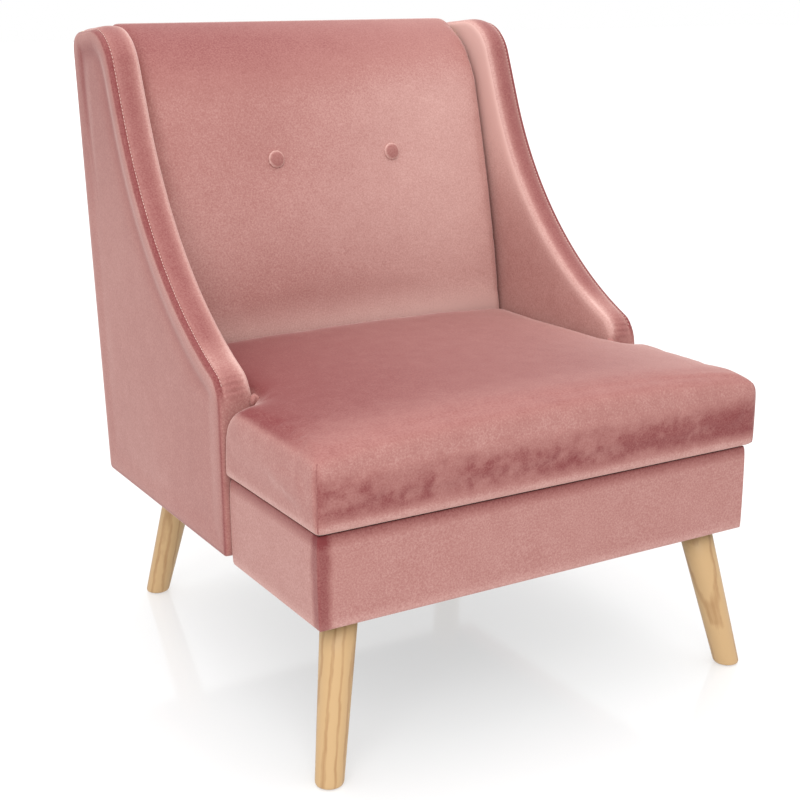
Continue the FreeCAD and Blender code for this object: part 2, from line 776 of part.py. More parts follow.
def back_section(body, x_place, brow_y, radius, top):
    """Side view of the back cushion at one distance from the middle."""
    rear_top = "StileTop + CoverGap"
    seat = "DeckTop + SeatGap"
    corners = [
        ("BackFootY", seat),
        ("BackFootY", "BackKneeZ", f"-{radius}"),
        (brow_y, "BackBrowZ", "-BackBrowRadius"),
        ("BackCrestY", top),
        ("BackCrestRearY", top, "-BackRearRadius"),
        (arm_rear("BackRearTop"), "BackRearTop"),
        (arm_rear(rear_top), rear_top),
        (f"{front_line(rear_top)} - CoverGap", rear_top),
        (f"{front_line(seat)} - CoverGap", seat),
    ]
    return outline(body, "YZ_Plane", corners, x_place, "section")


def make_back_cushion():
    """A pad lofted from one side through a fuller middle to the other side."""
    body = doc.addObject("PartDesign::Body", "back_cushion_blank")
    side_top = "BackTop - BackSideDrop"
    left = back_section(body, f"-{NARROW}", "BackBrowSideY", "BackSideRadius", side_top)
    middle = back_section(body, "0", "BackBrowMiddleY", "BackMiddleRadius", "BackTop")
    right = back_section(body, NARROW, "BackBrowSideY", "BackSideRadius", side_top)
    loft = body.newObject("PartDesign::AdditiveLoft", "back_cushion_loft")
    loft.Profile = left
    loft.Sections = [middle, right]
    seats = [button_rod(f"button_seat_{side}", side, "ButtonRadius", "-ButtonRadius") for side in SIDES]
    bores = [button_rod(f"twine_bore_{side}", side, "TwineHole", "0") for side in SIDES]
    keep(combine("Cut", "back_cushion", body, *seats, *bores))


def on_button_axis(side, depth):
    """Point on a button's axis at a depth behind its seat."""
    return (
        f"{SIDES[side]} * ButtonX",
        f"ButtonY + ({depth}) * cos(ButtonLean)",
        f"ButtonZ - ({depth}) * sin(ButtonLean)",
    )


def button_rod(label, side, radius, start, length=None):
    """A rod along a button's axis; by default it ends just under the button or behind the back."""
    if length is None:
        length = "ButtonPocket - (" + start + ")" if start != "0" else "BlockSize"
    return rod(label, radius, length, on_button_axis(side, start), Vector(-1, 0, 0), "90 + ButtonLean")


def make_buttons():
    rise = "(ButtonHeight - ButtonPocket)"
    twines = []
    for side in SIDES:
        body = doc.addObject("PartDesign::Body", "back_button_" + side)
        corners = [
            ("0", "-ButtonPocket"),
            ("ButtonRadius", "-ButtonPocket"),
            ("ButtonRadius", "ButtonPocket", f"(ButtonRadius ^ 2 + {rise} ^ 2) / (2 * {rise})"),
            ("0", "ButtonHeight"),
        ]
        sketch = outline(body, "XZ_Plane", corners)
        dome = body.newObject("PartDesign::Revolution", body.Name + "_dome")
        dome.Profile = sketch
        dome.ReferenceAxis = (sketch, ["V_Axis"])
        bind(dome, "Angle", "360")
        turn = Rotation(Vector(1, 0, 0), value("90 - ButtonLean"))
        body.Placement = FreeCAD.Placement(Vector(), turn)
        for axis, formula in zip("xyz", on_button_axis(side, "0")):
            bind(body, "Placement.Base." + axis, formula)
        keep(body)
        length = "(MiddleRailY - ButtonY) / cos(ButtonLean) - ButtonPocket - WoodGap"
        twines.append(button_rod("twine_" + side, side, "TwineRadius", "ButtonPocket", length))
    keep(group("button_twines", twines))


def make_back_panel():
    """The flat covered panel that closes the rear, leaning with the arms' rear edges."""
    half = f"({ARM_OUTER} - PanelMargin)"
    sizes = {
        "Length": f"2 * {half}",
        "Width": "PanelThickness * cos(RearLean)",
        "Height": "(PanelTop - PanelBottom) / cos(RearLean)",
    }
    base = (f"-{half}", f"{rear_face('PanelBottom')} - PanelThickness", "PanelBottom")
    keep(primitive("Box", "back_outer_panel", sizes, base, Vector(-1, 0, 0), "RearLean"))


# -------------------------------------------------------------- seat cushion
def edges_at(shape, level, tolerance=0.01):
    """Names of the level edges at one height."""
    names = []
    for number, edge in enumerate(shape.Edges, start=1):
        box = edge.BoundBox
        if abs(box.ZMin - level) < tolerance and abs(box.ZMax - level) < tolerance:
            names.append(f"Edge{number}")
    return names


def make_seat_cushion():
    front = "-(OverallDepth / 2)"
    plan = tee_outline("CushionHalfWidth", front, "CushionShoulderY", NARROW, "CushionRear")
    body = padded_body("seat_cushion", "XY_Plane", plan, "CushionBottom", "CushionTop - CushionBottom")
    doc.recompute()
    slab = body.Tip
    rounding = body.newObject("PartDesign::Fillet", "seat_cushion_edge")
    rounding.Base = (slab, edges_at(slab.Shape, value("CushionTop")))
    bind(rounding, "Radius", "CushionEdgeRadius")
    inset_plan = tee_outline(
        "(CushionHalfWidth - BoardInset)",
        f"{front} + BoardInset",
        "CushionShoulderY - BoardInset",
        f"({NARROW} - BoardInset)",
        "CushionRear - BoardInset",
    )
    recess = outline(body, "XY_Plane", inset_plan, "CushionBottom", "recess")
    pocket(body, recess, "BoardThickness", True)
    keep(body)
    keep(padded_body("seat_board", "XY_Plane", inset_plan, "CushionBottom", "BoardThickness"))


# -------------------------------------------------------- build, check, export
def check_document():
    doc.recompute()
    for item in doc.Objects:
        if {"Invalid", "Error"} & set(item.State):
            raise RuntimeError(f"{item.Name} did not recompute: {item.State}")
    for label, item in nodes.items():
        if item.Shape.isNull() or not item.Shape.isValid():
            raise RuntimeError(f"{label} has no valid shape")
        if not item.Shape.Solids:
            raise RuntimeError(f"{label} holds no solid")


make_base_frame()
for place in CORNERS:
    make_leg(place)
    make_leg_block(place)
make_leg_hardware()
make_springs()
make_deck()
make_base_pads()
make_arms()
make_fasteners("arm", BASE_BOLTS, "RailThickness", f"-({NARROW} - RailThickness)")
make_fasteners("back", STILE_BOLTS, "StileWidth", f"-{STILE_INNER}")
make_stiles()
make_back_rails()
make_webbing()
make_back_cushion()
make_buttons()
make_back_panel()
make_seat_cushion()
check_document()

os.makedirs("parts", exist_ok=True)
for label, item in nodes.items():
    item.Shape.exportStep(f"parts/{label}.step")
print(f"{len(nodes)} nodes")
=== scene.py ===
import math
import bmesh
import bpy
import numpy as np
from mathutils import Matrix, Vector, noise
from mathutils.bvhtree import BVHTree


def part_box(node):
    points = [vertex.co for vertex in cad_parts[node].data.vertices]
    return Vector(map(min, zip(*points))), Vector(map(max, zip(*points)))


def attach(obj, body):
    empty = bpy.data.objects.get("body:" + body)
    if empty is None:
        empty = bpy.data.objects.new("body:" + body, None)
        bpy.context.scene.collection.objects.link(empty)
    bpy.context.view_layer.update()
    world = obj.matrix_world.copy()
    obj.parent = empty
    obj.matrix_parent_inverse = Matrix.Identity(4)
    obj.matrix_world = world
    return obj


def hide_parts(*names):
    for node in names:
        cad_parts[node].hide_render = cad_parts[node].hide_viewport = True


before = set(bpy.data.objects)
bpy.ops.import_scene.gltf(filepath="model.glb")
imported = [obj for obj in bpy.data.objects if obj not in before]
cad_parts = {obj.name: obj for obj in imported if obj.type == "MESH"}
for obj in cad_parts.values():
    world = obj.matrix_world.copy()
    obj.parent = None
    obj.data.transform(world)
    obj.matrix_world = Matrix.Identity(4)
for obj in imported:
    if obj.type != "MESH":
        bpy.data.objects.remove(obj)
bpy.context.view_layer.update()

# Sizes in metres, in the CAD frame: -Y is the front, +Z is up.
ARM_INNER_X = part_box("arm_inner_pad_right")[0].x
ARM_WIDTH = 0.0462
ARM_FRONT_Y = -0.116
ARM_BOTTOM_Z = 0.2068
ARM_TOP_Z = 0.860
REAR_TOP_Y = 0.368
REAR_TOP_Z = 0.848
REAR_LEAN = math.tan(math.radians(4.03))
ARM_REAR_GAP = 0.0021
ARM_CORNER = 0.030
ARM_TOP_FALL = 0.004
NOSE_RADIUS = 0.037
NOSE_CENTRE = (-0.079, 0.415)
SWOOP_RADIUS = 0.530
SWOOP_CENTRE = (-0.3096, 0.933)
SHOULDER_RADIUS = 0.075
SHOULDER_CENTRE = (0.2816, 0.785)
ARM_STAR = (0.230, 0.380)
BAND_REAR_Y = 0.345
# Distance past the nose where the painted highlight on the band is brightest.
TIP_HIGHLIGHT_REACH = 0.05
GATHER_PITCH = 0.0085
STRIP_GATHER_PITCH = 0.0068
STITCH_PITCH = 0.0052
STITCH_HALF = 0.0019
STITCH_RADIUS = 0.00042
STITCH_ACROSS = 0.0388
STITCH_DEPTH = 0.0042
KNOB_Z = 0.4095
SEAT_BOTTOM_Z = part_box("seat_board")[0].z
SEAT_FRONT_Y = -0.3695
SEAT_WIDE_X = 0.3268
SEAT_NARROW_X = 0.2827
SEAT_STEP_Y = -0.1175
SEAT_REAR_Y = 0.1545
SEAT_OVERLAP_Y = -0.25
SEAT_SHOULDER = 0.045
SEAT_EDGE_Z = 0.4075
SEAT_CROWN = 0.0175
SEAT_VOXEL = 0.005
SEAT_FILL_CAP = 0.005
SEAT_SWELL = 0.002
BACK_HALF_WIDTH = 0.2827
BACK_FRONT_Y = 0.157
BACK_FOOT_Z = 0.3185
BACK_SEAT_Z = 0.417
BACK_KNEE_Z = 0.760
BACK_REAR_Z = 0.846
BACK_VOXEL = 0.006
BACK_FILL_CAP = 0.004
BASE_INNER_X = 0.3188
BASE_INNER_Y = -0.3572
BASE_REAR_Y = -0.117
LEG_FEET = {
    "leg_front_left": (-0.3115, -0.3555),
    "leg_front_right": (0.3115, -0.3555),
    "leg_rear_left": (-0.2735, 0.2965),
    "leg_rear_right": (0.2735, 0.2965),
}
LEG_SPLAY = 0.038
LEG_SPLAY_HEIGHT = 0.198
LEG_FOOT_RADIUS = 0.0175
LEG_TOP_RADIUS = 0.023
LEG_BOTTOM_Z = 0.0015
LEG_TOP_Z = 0.201
BUTTON_X = 0.096
BUTTON_POINT = (0.1875, 0.671)
BUTTON_TILT = math.radians(12)
BUTTON_DIMPLE_RADIUS = 0.024


# --- mesh helpers
def mesh_object(name, points, faces, smooth=True):
    """A mesh object with outward normals."""
    mesh = bpy.data.meshes.new(name)
    mesh.from_pydata([tuple(p) for p in points], [], faces)
    work = bmesh.new()
    work.from_mesh(mesh)
    bmesh.ops.recalc_face_normals(work, faces=work.faces)
    work.to_mesh(mesh)
    work.free()
    for face in mesh.polygons:
        face.use_smooth = smooth
    made = bpy.data.objects.new(name, mesh)
    bpy.context.scene.collection.objects.link(made)
    return made


def grid_faces(rows, columns, wrap_rows=False, wrap_columns=False):
    """Quads between neighbouring rows and columns of a grid of points."""
    faces = []
    for r in range(rows if wrap_rows else rows - 1):
        for c in range(columns if wrap_columns else columns - 1):
            below = (r + 1) % rows
            after = (c + 1) % columns
            faces.append((r * columns + c, r * columns + after,
                          below * columns + after, below * columns + c))
    return faces


def closed_faces(rows, columns):
    """Faces of a closed form made of rings, with one face over each end."""
    last = (rows - 1) * columns
    faces = grid_faces(rows, columns, wrap_columns=True)
    faces.append(tuple(range(columns)))
    faces.append(tuple(last + c for c in range(columns - 1, -1, -1)))
    return faces


def subdivide(obj):
    """Smooths a mesh by one subdivision and keeps the result."""
    bpy.context.view_layer.objects.active = obj
    modifier = obj.modifiers.new("smooth", "SUBSURF")
    modifier.levels = 1
    bpy.ops.object.modifier_apply(modifier=modifier.name)


def close_holes(obj):
    """Fills each open rim of a mesh with one face."""
    work = bmesh.new()
    work.from_mesh(obj.data)
    rims = [edge for edge in work.edges if edge.is_boundary]
    made = bmesh.ops.holes_fill(work, edges=rims, sides=0)
    bmesh.ops.recalc_face_normals(work, faces=work.faces)
    for face in made["faces"]:
        face.smooth = True
    work.to_mesh(obj.data)
    work.free()


def coordinates(obj):
    """The vertex positions of a mesh as an array."""
    flat = np.zeros(len(obj.data.vertices) * 3)
    obj.data.vertices.foreach_get("co", flat)
    return flat.reshape(-1, 3)


def set_coordinates(obj, points):
    """Writes vertex positions back to a mesh."""
    obj.data.vertices.foreach_set("co", np.asarray(points).ravel())
    obj.data.update()


def set_tone(obj, values):
    """Stores a tone from deep (-1) to pale (+1) at each vertex, mostly painted light and shade on the
    velvet.
    """
    layer = obj.data.attributes.new("tone", "FLOAT", "POINT")
    layer.data.foreach_set("value", np.asarray(values, dtype=np.float32))


def normals(obj):
    """The vertex normals of a mesh as an array."""
    return np.array([n.vector[:] for n in obj.data.vertex_normals])


def lay_painted_light(obj, rule):
    """Adds to a piece's tone the painted light and shade that a rule gives for its points and normals."""
    layer = obj.data.attributes["tone"]
    tone = np.zeros(len(obj.data.vertices), dtype=np.float32)
    layer.data.foreach_get("value", tone)
    tone = tone + rule(coordinates(obj), normals(obj))
    layer.data.foreach_set("value", tone.astype(np.float32))


def smoothstep(edge0, edge1, value):
    """0 below edge0, 1 above edge1, with a smooth rise between them."""
    t = np.clip((np.asarray(value, float) - edge0) / (edge1 - edge0), 0, 1)
    return t * t * (3 - 2 * t)


def waves(points, scale, seed):
    """Smooth noise from -1 to 1 at each point."""
    shift = Vector((seed * 3.17, seed * 1.73, seed * 5.11))
    return np.array([noise.noise(Vector(p) * scale + shift) for p in points])


# --- outlines
def line_points(start, end, pitch):
    """Points along a line, without its end."""
    start, end = np.array(start), np.array(end)
    count = max(1, int(round(np.linalg.norm(end - start) / pitch)))
    return [start + (end - start) * i / count for i in range(count)]


def arc_points(centre, radius, angle0, angle1, pitch):
    """Points along an arc, without its end. Angles in degrees."""
    count = max(2, int(round(abs(math.radians(angle1 - angle0)) * radius / pitch)))
    angles = np.radians(angle0 + (angle1 - angle0) * np.arange(count) / count)
    return [np.array(centre) + radius * np.array((math.cos(a), math.sin(a))) for a in angles]


def arc_end(centre, radius, angle):
    """The point of a circle at an angle in degrees."""
    a = math.radians(angle)
    return (centre[0] + radius * math.cos(a), centre[1] + radius * math.sin(a))


def rounded_polygon(corners, radii, pitch):
    """A closed loop round a polygon whose corners are rounded."""
    loop = []
    count = len(corners)
    trims = []
    for i in range(count):
        before = np.array(corners[i - 1])
        here = np.array(corners[i])
        after = np.array(corners[(i + 1) % count])
        a = (before - here) / np.linalg.norm(before - here)
        b = (after - here) / np.linalg.norm(after - here)
        half = math.acos(np.clip(a @ b, -1, 1)) / 2
        trim = radii[i] / math.tan(half)
        bisector = (a + b) / np.linalg.norm(a + b)
        trims.append((here + a * trim, here + b * trim, here + bisector * radii[i] / math.sin(half)))
    for i in range(count):
        begin, finish, centre = trims[i]
        steps = max(3, int(round(radii[i] * 1.6 / pitch)))
        angle0 = math.atan2(*(begin - centre)[::-1])
        angle1 = math.atan2(*(finish - centre)[::-1])
        turn = (angle1 - angle0 + math.pi) % (2 * math.pi) - math.pi
        for k in range(steps):
            a = angle0 + turn * k / steps
            loop.append(centre + radii[i] * np.array((math.cos(a), math.sin(a))))
        loop += line_points(finish, trims[(i + 1) % count][0], pitch)
    return np.array(loop)


def loop_distance(points, loop):
    """Distance of each point from a closed loop."""
    starts = loop
    spans = np.roll(loop, -1, axis=0) - loop
    lengths = np.maximum((spans ** 2).sum(1), 1e-12)
    reach = points[:, None, :] - starts[None]
    along = np.clip((reach * spans[None]).sum(2) / lengths[None], 0, 1)
    gaps = reach - along[..., None] * spans[None]
    return np.sqrt((gaps ** 2).sum(2)).min(1)


def depth_table(loop, star):
    """For rays from a loop to an inner point: ray fractions and how deep each lies."""
    fractions = np.linspace(0, 1, 90) ** 2
    depths = []
    for p in loop:
        ray = p + fractions[:, None] * (np.array(star) - p)
        depths.append(np.maximum.accumulate(loop_distance(ray, loop)))
    return fractions, np.array(depths)


def at_depth(loop, star, table, depth):
    """The loop moved inward so that each point lies at its own depth."""
    fractions, depths = table
    inward = np.zeros(len(loop))
    for i in range(len(loop)):
        inward[i] = np.interp(depth[i], depths[i] + np.arange(len(fractions)) * 1e-9, fractions)
    return loop + inward[:, None] * (np.array(star) - loop)


# --- arms
def arm_rear_y(z):
    """The leaning rear line of the arm."""
    return REAR_TOP_Y - (REAR_TOP_Z - z) * REAR_LEAN - ARM_REAR_GAP


def arm_loop(pitch=0.004):
    """The arm's outline in (y, z), and the length along it of each point."""
    swoop_end = arc_end(SWOOP_CENTRE, SWOOP_RADIUS, -21)
    shoulder_start = arc_end(SHOULDER_CENTRE, SHOULDER_RADIUS, 159)
    lean = math.degrees(math.atan(REAR_LEAN))
    corner_top = ARM_TOP_Z - ARM_TOP_FALL
    corner_centre = (arm_rear_y(corner_top - ARM_CORNER) - ARM_CORNER, corner_top - ARM_CORNER)
    heel = 0.008
    heel_centre = (arm_rear_y(ARM_BOTTOM_Z) - heel, ARM_BOTTOM_Z + heel)
    toe_centre = (ARM_FRONT_Y + heel, ARM_BOTTOM_Z + heel)
    loop = line_points((ARM_FRONT_Y, ARM_BOTTOM_Z + heel), (ARM_FRONT_Y, NOSE_CENTRE[1]), pitch)
    loop += arc_points(NOSE_CENTRE, NOSE_RADIUS, 180, 114, pitch * 0.7)
    loop += arc_points(SWOOP_CENTRE, SWOOP_RADIUS, -66, -21, pitch)
    loop += line_points(swoop_end, shoulder_start, pitch)
    loop += arc_points(SHOULDER_CENTRE, SHOULDER_RADIUS, 159, 90, pitch * 0.8)
    loop += line_points((SHOULDER_CENTRE[0], ARM_TOP_Z), (corner_centre[0], corner_top), pitch)
    loop += arc_points(corner_centre, ARM_CORNER, 90, -lean, pitch * 0.6)
    loop += line_points(arc_end(corner_centre, ARM_CORNER, -lean), arc_end(heel_centre, heel, -lean), pitch)
    loop += arc_points(heel_centre, heel, -lean, -90, pitch * 0.5)
    loop += line_points(arc_end(heel_centre, heel, -90), arc_end(toe_centre, heel, -90), pitch)
    loop += arc_points(toe_centre, heel, -90, -180, pitch * 0.5)
    loop = np.array(loop)
    steps = np.linalg.norm(np.roll(loop, -1, axis=0) - loop, axis=1)
    length = np.concatenate([[0], np.cumsum(steps)[:-1]])
    return loop, length


# Sections across the arm edge in mm: (across from the inner face, depth below the outline).
BAND_SECTION = [
    (0, 60), (0, 12), (1.3, 6.5), (3.2, 3.2), (6.5, 1.3), (11, 0.6), (18, 0), (26, 0.2), (33, 1.6),
    (37.5, 3.8), (39, 5.4), (40.3, 4.4), (43, 4.8), (45, 6), (46, 8), (46.9, 8.4), (47.2, 12),
    (47.4, 17), (46.9, 24), (45.0, 33), (44.6, 39), (45.6, 50), (46.2, 60),
]
PLAIN_SECTION = [
    (0, 60), (0, 12), (0.3, 3.4), (1, 1.6), (2.4, 0.6), (6, 0.1), (14, 0), (24, 0), (33, 0),
    (38, 0), (41, 0.05), (43, 0.2), (44.6, 0.7), (45.5, 1.7), (46, 3.2), (46.3, 4.2), (46.8, 8),
    (46.9, 14), (46.6, 22), (46, 32), (45.8, 38), (46, 48), (46.2, 60),
]
# Painted tone of each ring, deep (-1) to pale (+1): a painted highlight on the rounded inner edge and the
# outer rim, painted shade over the band, deepest in the strip by the seam groove, and in the valley of the
# outer panel. PLAIN_TONE is painted shade round the plain outer edge.
RING_TONE = [
    0, 0.1, 0.5, 0.6, 0.45, -0.1, -0.48, -0.55, -0.45, -0.2, -0.7, -0.85, -0.8, -0.7, -0.5, 0.25, 0.3,
    0.15, -0.1, -0.3, -0.2, 0, 0,
]
PLAIN_TONE = {12: -0.2, 13: -0.45, 14: -0.7, 15: -0.4}
STRIP_RINGS = (10, 11, 12, 13)
BAND_RINGS = (2, 3, 4, 5, 6, 7, 8, 9)
FACE_FRACTIONS = (0.15, 0.3, 0.45, 0.6, 0.75, 0.88, 0.96)


def band_share(loop, length):
    """1 where the arm edge has the topstitched band, 0 where it is plain; and where the band starts."""
    tip = np.array(arc_end(NOSE_CENTRE, NOSE_RADIUS, 168))
    nose = int(np.argmin(np.linalg.norm(loop - tip, axis=1)))
    rear = int(np.argmin(np.linalg.norm(loop - np.array((BAND_REAR_Y, ARM_TOP_Z)), axis=1)))
    rise = smoothstep(length[nose] - 0.022, length[nose] + 0.012, length)
    fall = 1 - smoothstep(length[rear] - 0.004, length[rear] + 0.03, length)
    return rise * fall, length[nose]


def arm_rings(loop, length, table):
    """Rings of points over the arm: the inner face, the edge, the outer face; with each ring's painted
    tone.
    """
    share, nose_length = band_share(loop, length)
    past_tip = length - nose_length
    near_tip = np.exp(-((past_tip - 0.01) / 0.02) ** 2)
    puff = np.array([noise.noise(Vector((s * 38, 4.0, 0))) for s in length])
    turns = length * 2 * math.pi
    rings = []
    tones = []
    for k in range(len(BAND_SECTION)):
        across = share * BAND_SECTION[k][0] + (1 - share) * PLAIN_SECTION[k][0]
        deep = share * BAND_SECTION[k][1] + (1 - share) * PLAIN_SECTION[k][1]
        if k in BAND_RINGS:
            gather = np.sin(turns / GATHER_PITCH + 0.5 * k)
            deep = deep + share * 0.35 * puff + near_tip * (1.2 + 1.3 * gather) * (k >= 5) * (k / 9)
        if k in STRIP_RINGS:
            deep = deep + near_tip * 0.9 * np.sin(turns / STRIP_GATHER_PITCH + 1)
        rings.append((across * 0.001, at_depth(loop, ARM_STAR, table, deep * 0.001)))
        # A painted highlight on the band a little past the nose.
        tip_highlight = 0.55 * np.exp(-((past_tip - TIP_HIGHLIGHT_REACH) / 0.035) ** 2) * (4 <= k <= 9)
        tones.append(RING_TONE[k] * share + PLAIN_TONE.get(k, 0) * (1 - share) + tip_highlight)
    return rings, tones


def arm_painted_light_and_mottle(sign):
    """Painted light on an arm: painted light on the inside face, most of it high up; painted shade on the
    outside face, most of it high at the rear; and a little random mottle.
    """
    def rule(points, facing):
        inward = smoothstep(0.7, 0.95, -sign * facing[:, 0])
        outward = smoothstep(0.7, 0.95, sign * facing[:, 0])
        high = smoothstep(0.50, 0.80, points[:, 2])
        rear = smoothstep(0.02, 0.22, points[:, 1])
        drift = 0.10 * waves(points * (1, 1, 0.5), 6.0, 4 + sign)
        return inward * (0.30 + 0.95 * high) + outward * (-0.04 - 0.32 * high * rear) + drift
    return rule


def arm_cover(side, sign):
    """The velvet cover of an arm, lofted round its outline."""
    loop, length = arm_loop()
    table = depth_table(loop, ARM_STAR)
    rings, tones = arm_rings(loop, length, table)
    star = np.array(ARM_STAR)
    flush = np.zeros(len(loop))
    inner, outer = rings[0][1], rings[-1][1]
    rows = [(flush, inner + share * (star - inner)) for share in FACE_FRACTIONS[::-1]]
    rows += rings
    rows += [(flush + ARM_WIDTH, outer + share * (star - outer)) for share in FACE_FRACTIONS]
    face_tones = [flush] * len(FACE_FRACTIONS)
    values = np.concatenate(face_tones + tones + face_tones)
    points = np.concatenate([
        np.column_stack([sign * (ARM_INNER_X + across), flat]) for across, flat in rows])
    faces = grid_faces(len(rows), len(loop), wrap_columns=True)
    swell = 0.0011 * waves(points, 7.0, 2 + sign)
    outside = smoothstep(0.040, 0.046, np.abs(points[:, 0]) - ARM_INNER_X)
    panel = smoothstep(0.02, 0.05, loop_distance(points[:, 1:], loop))
    points[:, 0] += sign * outside * panel * swell
    cover = mesh_object(f"arm_cover_{side}", points, faces)
    set_tone(cover, values)
    subdivide(cover)
    close_holes(cover)
    lay_painted_light(cover, arm_painted_light_and_mottle(sign))
    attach(cover, "chair_frame")
    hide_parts(f"arm_inner_pad_{side}", f"arm_outer_pad_{side}", f"arm_band_pad_{side}")
    return cover


def capsule(centre, along, up, half, radius):
    """A short rounded stitch as points and faces."""
    side = along.cross(up).normalized()
    rise = side.cross(along).normalized()
    rings = ((-1, 0.25), (-0.82, 0.8), (-0.3, 1), (0.3, 1), (0.82, 0.8), (1, 0.25))
    count = 6
    points = []
    for t, r in rings:
        for k in range(count):
            a = 2 * math.pi * k / count
            sag = -0.6 * radius * t * t
            points.append(centre + along * (half * t) + rise * (math.sin(a) * r * radius + sag)
                          + side * (math.cos(a) * r * radius))
    return points, closed_faces(len(rings), count)


def arm_stitches(side, sign):
    """The light topstitch thread along the band of an arm."""
    loop, length = arm_loop()
    share = band_share(loop, length)[0]
    table = depth_table(loop, ARM_STAR)
    flat = at_depth(loop, ARM_STAR, table, np.full(len(loop), STITCH_DEPTH))
    path = np.column_stack([flat, length])[share > 0.9]
    points = []
    faces = []
    reach = np.arange(path[0, 2], path[-1, 2], STITCH_PITCH)
    ys = np.interp(reach, path[:, 2], path[:, 0])
    zs = np.interp(reach, path[:, 2], path[:, 1])
    x = sign * (ARM_INNER_X + STITCH_ACROSS)
    for i in range(1, len(reach) - 1):
        along = Vector((0, ys[i + 1] - ys[i - 1], zs[i + 1] - zs[i - 1])).normalized()
        up = Vector((sign * 0.5, -along.z, along.y)).normalized()
        more, quads = capsule(Vector((x, ys[i], zs[i])), along, up, STITCH_HALF, STITCH_RADIUS)
        faces += [tuple(len(points) + v for v in q) for q in quads]
        points += more
    made = mesh_object(f"arm_topstitch_{side}", points, faces)
    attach(made, "chair_frame")
    return made


def arm_knob(side, sign):
    """The folded end of the band at the inner front corner of an arm."""
    centre = Vector((sign * (ARM_INNER_X - 0.001), ARM_FRONT_Y + 0.001, KNOB_Z))
    points = []
    rings = 16
    count = 28
    for i in range(rings):
        polar = math.pi * (i + 0.5) / rings
        for k in range(count):
            a = 2 * math.pi * k / count
            lobe = 1 + 0.16 * math.cos(3 * a + 0.8) * math.sin(polar) + 0.06 * math.sin(5 * a + 4 * polar)
            points.append(centre + Vector((
                -sign * 0.0068 * math.sin(polar) * math.cos(a) * lobe,
                0.0072 * math.sin(polar) * math.sin(a) * lobe,
                0.0082 * math.cos(polar) * (1 + 0.1 * math.sin(2 * a)))))
    made = mesh_object(f"arm_knob_{side}", points, closed_faces(rings, count))
    set_tone(made, np.full(len(points), -0.1))
    subdivide(made)
    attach(made, "chair_frame")
    return made


def surface_line(target, guide, inward, lift):
    """Points of a guide dropped onto a piece along a direction."""
    tree = BVHTree.FromObject(target, bpy.context.evaluated_depsgraph_get())
    found = []
    for p in guide:
        hit = tree.ray_cast(Vector(p) - inward * 0.03, inward)[0]
        if hit is not None:
            found.append(hit - inward * lift)
    return found


def tube(name, path, radius, sides=8):
    """A thin cord along a path of points."""
    points = []
    for i, p in enumerate(path):
        along = (path[min(i + 1, len(path) - 1)] - path[max(i - 1, 0)]).normalized()
        side = along.orthogonal().normalized() if i == 0 else (side - along * side.dot(along)).normalized()
        rise = along.cross(side)
        for k in range(sides):
            a = 2 * math.pi * k / sides
            points.append(p + radius * (math.cos(a) * side + math.sin(a) * rise))
    return mesh_object(name, points, closed_faces(len(path), sides))


# --- simulated cushions
def remesh(obj, size):
    """Rebuilds a closed mesh with even quads."""
    bpy.context.view_layer.objects.active = obj
    modifier = obj.modifiers.new("even", "REMESH")
    modifier.mode = "VOXEL"
    modifier.voxel_size = size
    bpy.ops.object.modifier_apply(modifier=modifier.name)
    for face in obj.data.polygons:
        face.use_smooth = True


def inflate(obj, cap):
    """Fills a cover by cloth pressure and keeps each point within cap of where it was."""
    stiffness = 12
    frames = 20
    scene = bpy.context.scene
    before = coordinates(obj)
    cloth = obj.modifiers.new("fill", "CLOTH")
    cloth.settings.quality = 5
    cloth.settings.mass = 0.3
    cloth.settings.use_pressure = True
    cloth.settings.uniform_pressure_force = 4.0
    cloth.settings.effector_weights.gravity = 0
    cloth.settings.tension_stiffness = stiffness
    cloth.settings.compression_stiffness = stiffness
    cloth.settings.shear_stiffness = stiffness / 2
    cloth.settings.bending_stiffness = 0.4
    cloth.point_cache.frame_start = 1
    cloth.point_cache.frame_end = frames
    for step in range(1, frames + 1):
        scene.frame_set(step)
    result = obj.evaluated_get(bpy.context.evaluated_depsgraph_get())
    flat = np.zeros(len(result.data.vertices) * 3)
    result.data.vertices.foreach_get("co", flat)
    after = flat.reshape(-1, 3)
    move = after - before
    facing = normals(obj)
    along = (move * facing).sum(1)
    outward = np.where(along > 0, along, along * 0.2)
    move = (move - along[:, None] * facing) * 0.4 + outward[:, None] * facing
    size = np.maximum(np.linalg.norm(move, axis=1), 1e-9)
    move *= (np.minimum(size, cap) / size)[:, None]
    obj.modifiers.remove(cloth)
    scene.frame_set(1)
    set_coordinates(obj, before + move)


def relax(points, faces_from, factor=0.5, repeat=2):
    """Averages each vertex with its neighbours."""
    edges = np.array([e.vertices[:] for e in faces_from.data.edges])
    count = np.bincount(edges.ravel(), minlength=len(points))[:, None]
    for _ in range(repeat):
        total = np.zeros_like(points)
        np.add.at(total, edges[:, 0], points[edges[:, 1]])
        np.add.at(total, edges[:, 1], points[edges[:, 0]])
        points = points + factor * (total / np.maximum(count, 1) - points)
    return points


SEAT_OUTLINE = [
    (-SEAT_WIDE_X, SEAT_FRONT_Y), (SEAT_WIDE_X, SEAT_FRONT_Y), (SEAT_WIDE_X, SEAT_STEP_Y),
    (SEAT_NARROW_X, SEAT_STEP_Y), (SEAT_NARROW_X, SEAT_REAR_Y), (-SEAT_NARROW_X, SEAT_REAR_Y),
    (-SEAT_NARROW_X, SEAT_STEP_Y), (-SEAT_WIDE_X, SEAT_STEP_Y),
]
# (inset from the plan outline in mm, share of the height) from the bottom centre to the top.
SEAT_PROFILE = [
    (60, 0.0), (20, 0.0), (5, 0.0), (2.2, 0.01), (0.8, 0.035), (0.2, 0.09), (0, 0.2), (0, 0.4), (0, 0.6),
    (0, 0.76), (0.4, 0.85), (1.3, 0.91), (3, 0.952), (5.6, 0.98), (9, 0.994), (14, 1.0), (24, 1.006),
    (60, 1.006),
]


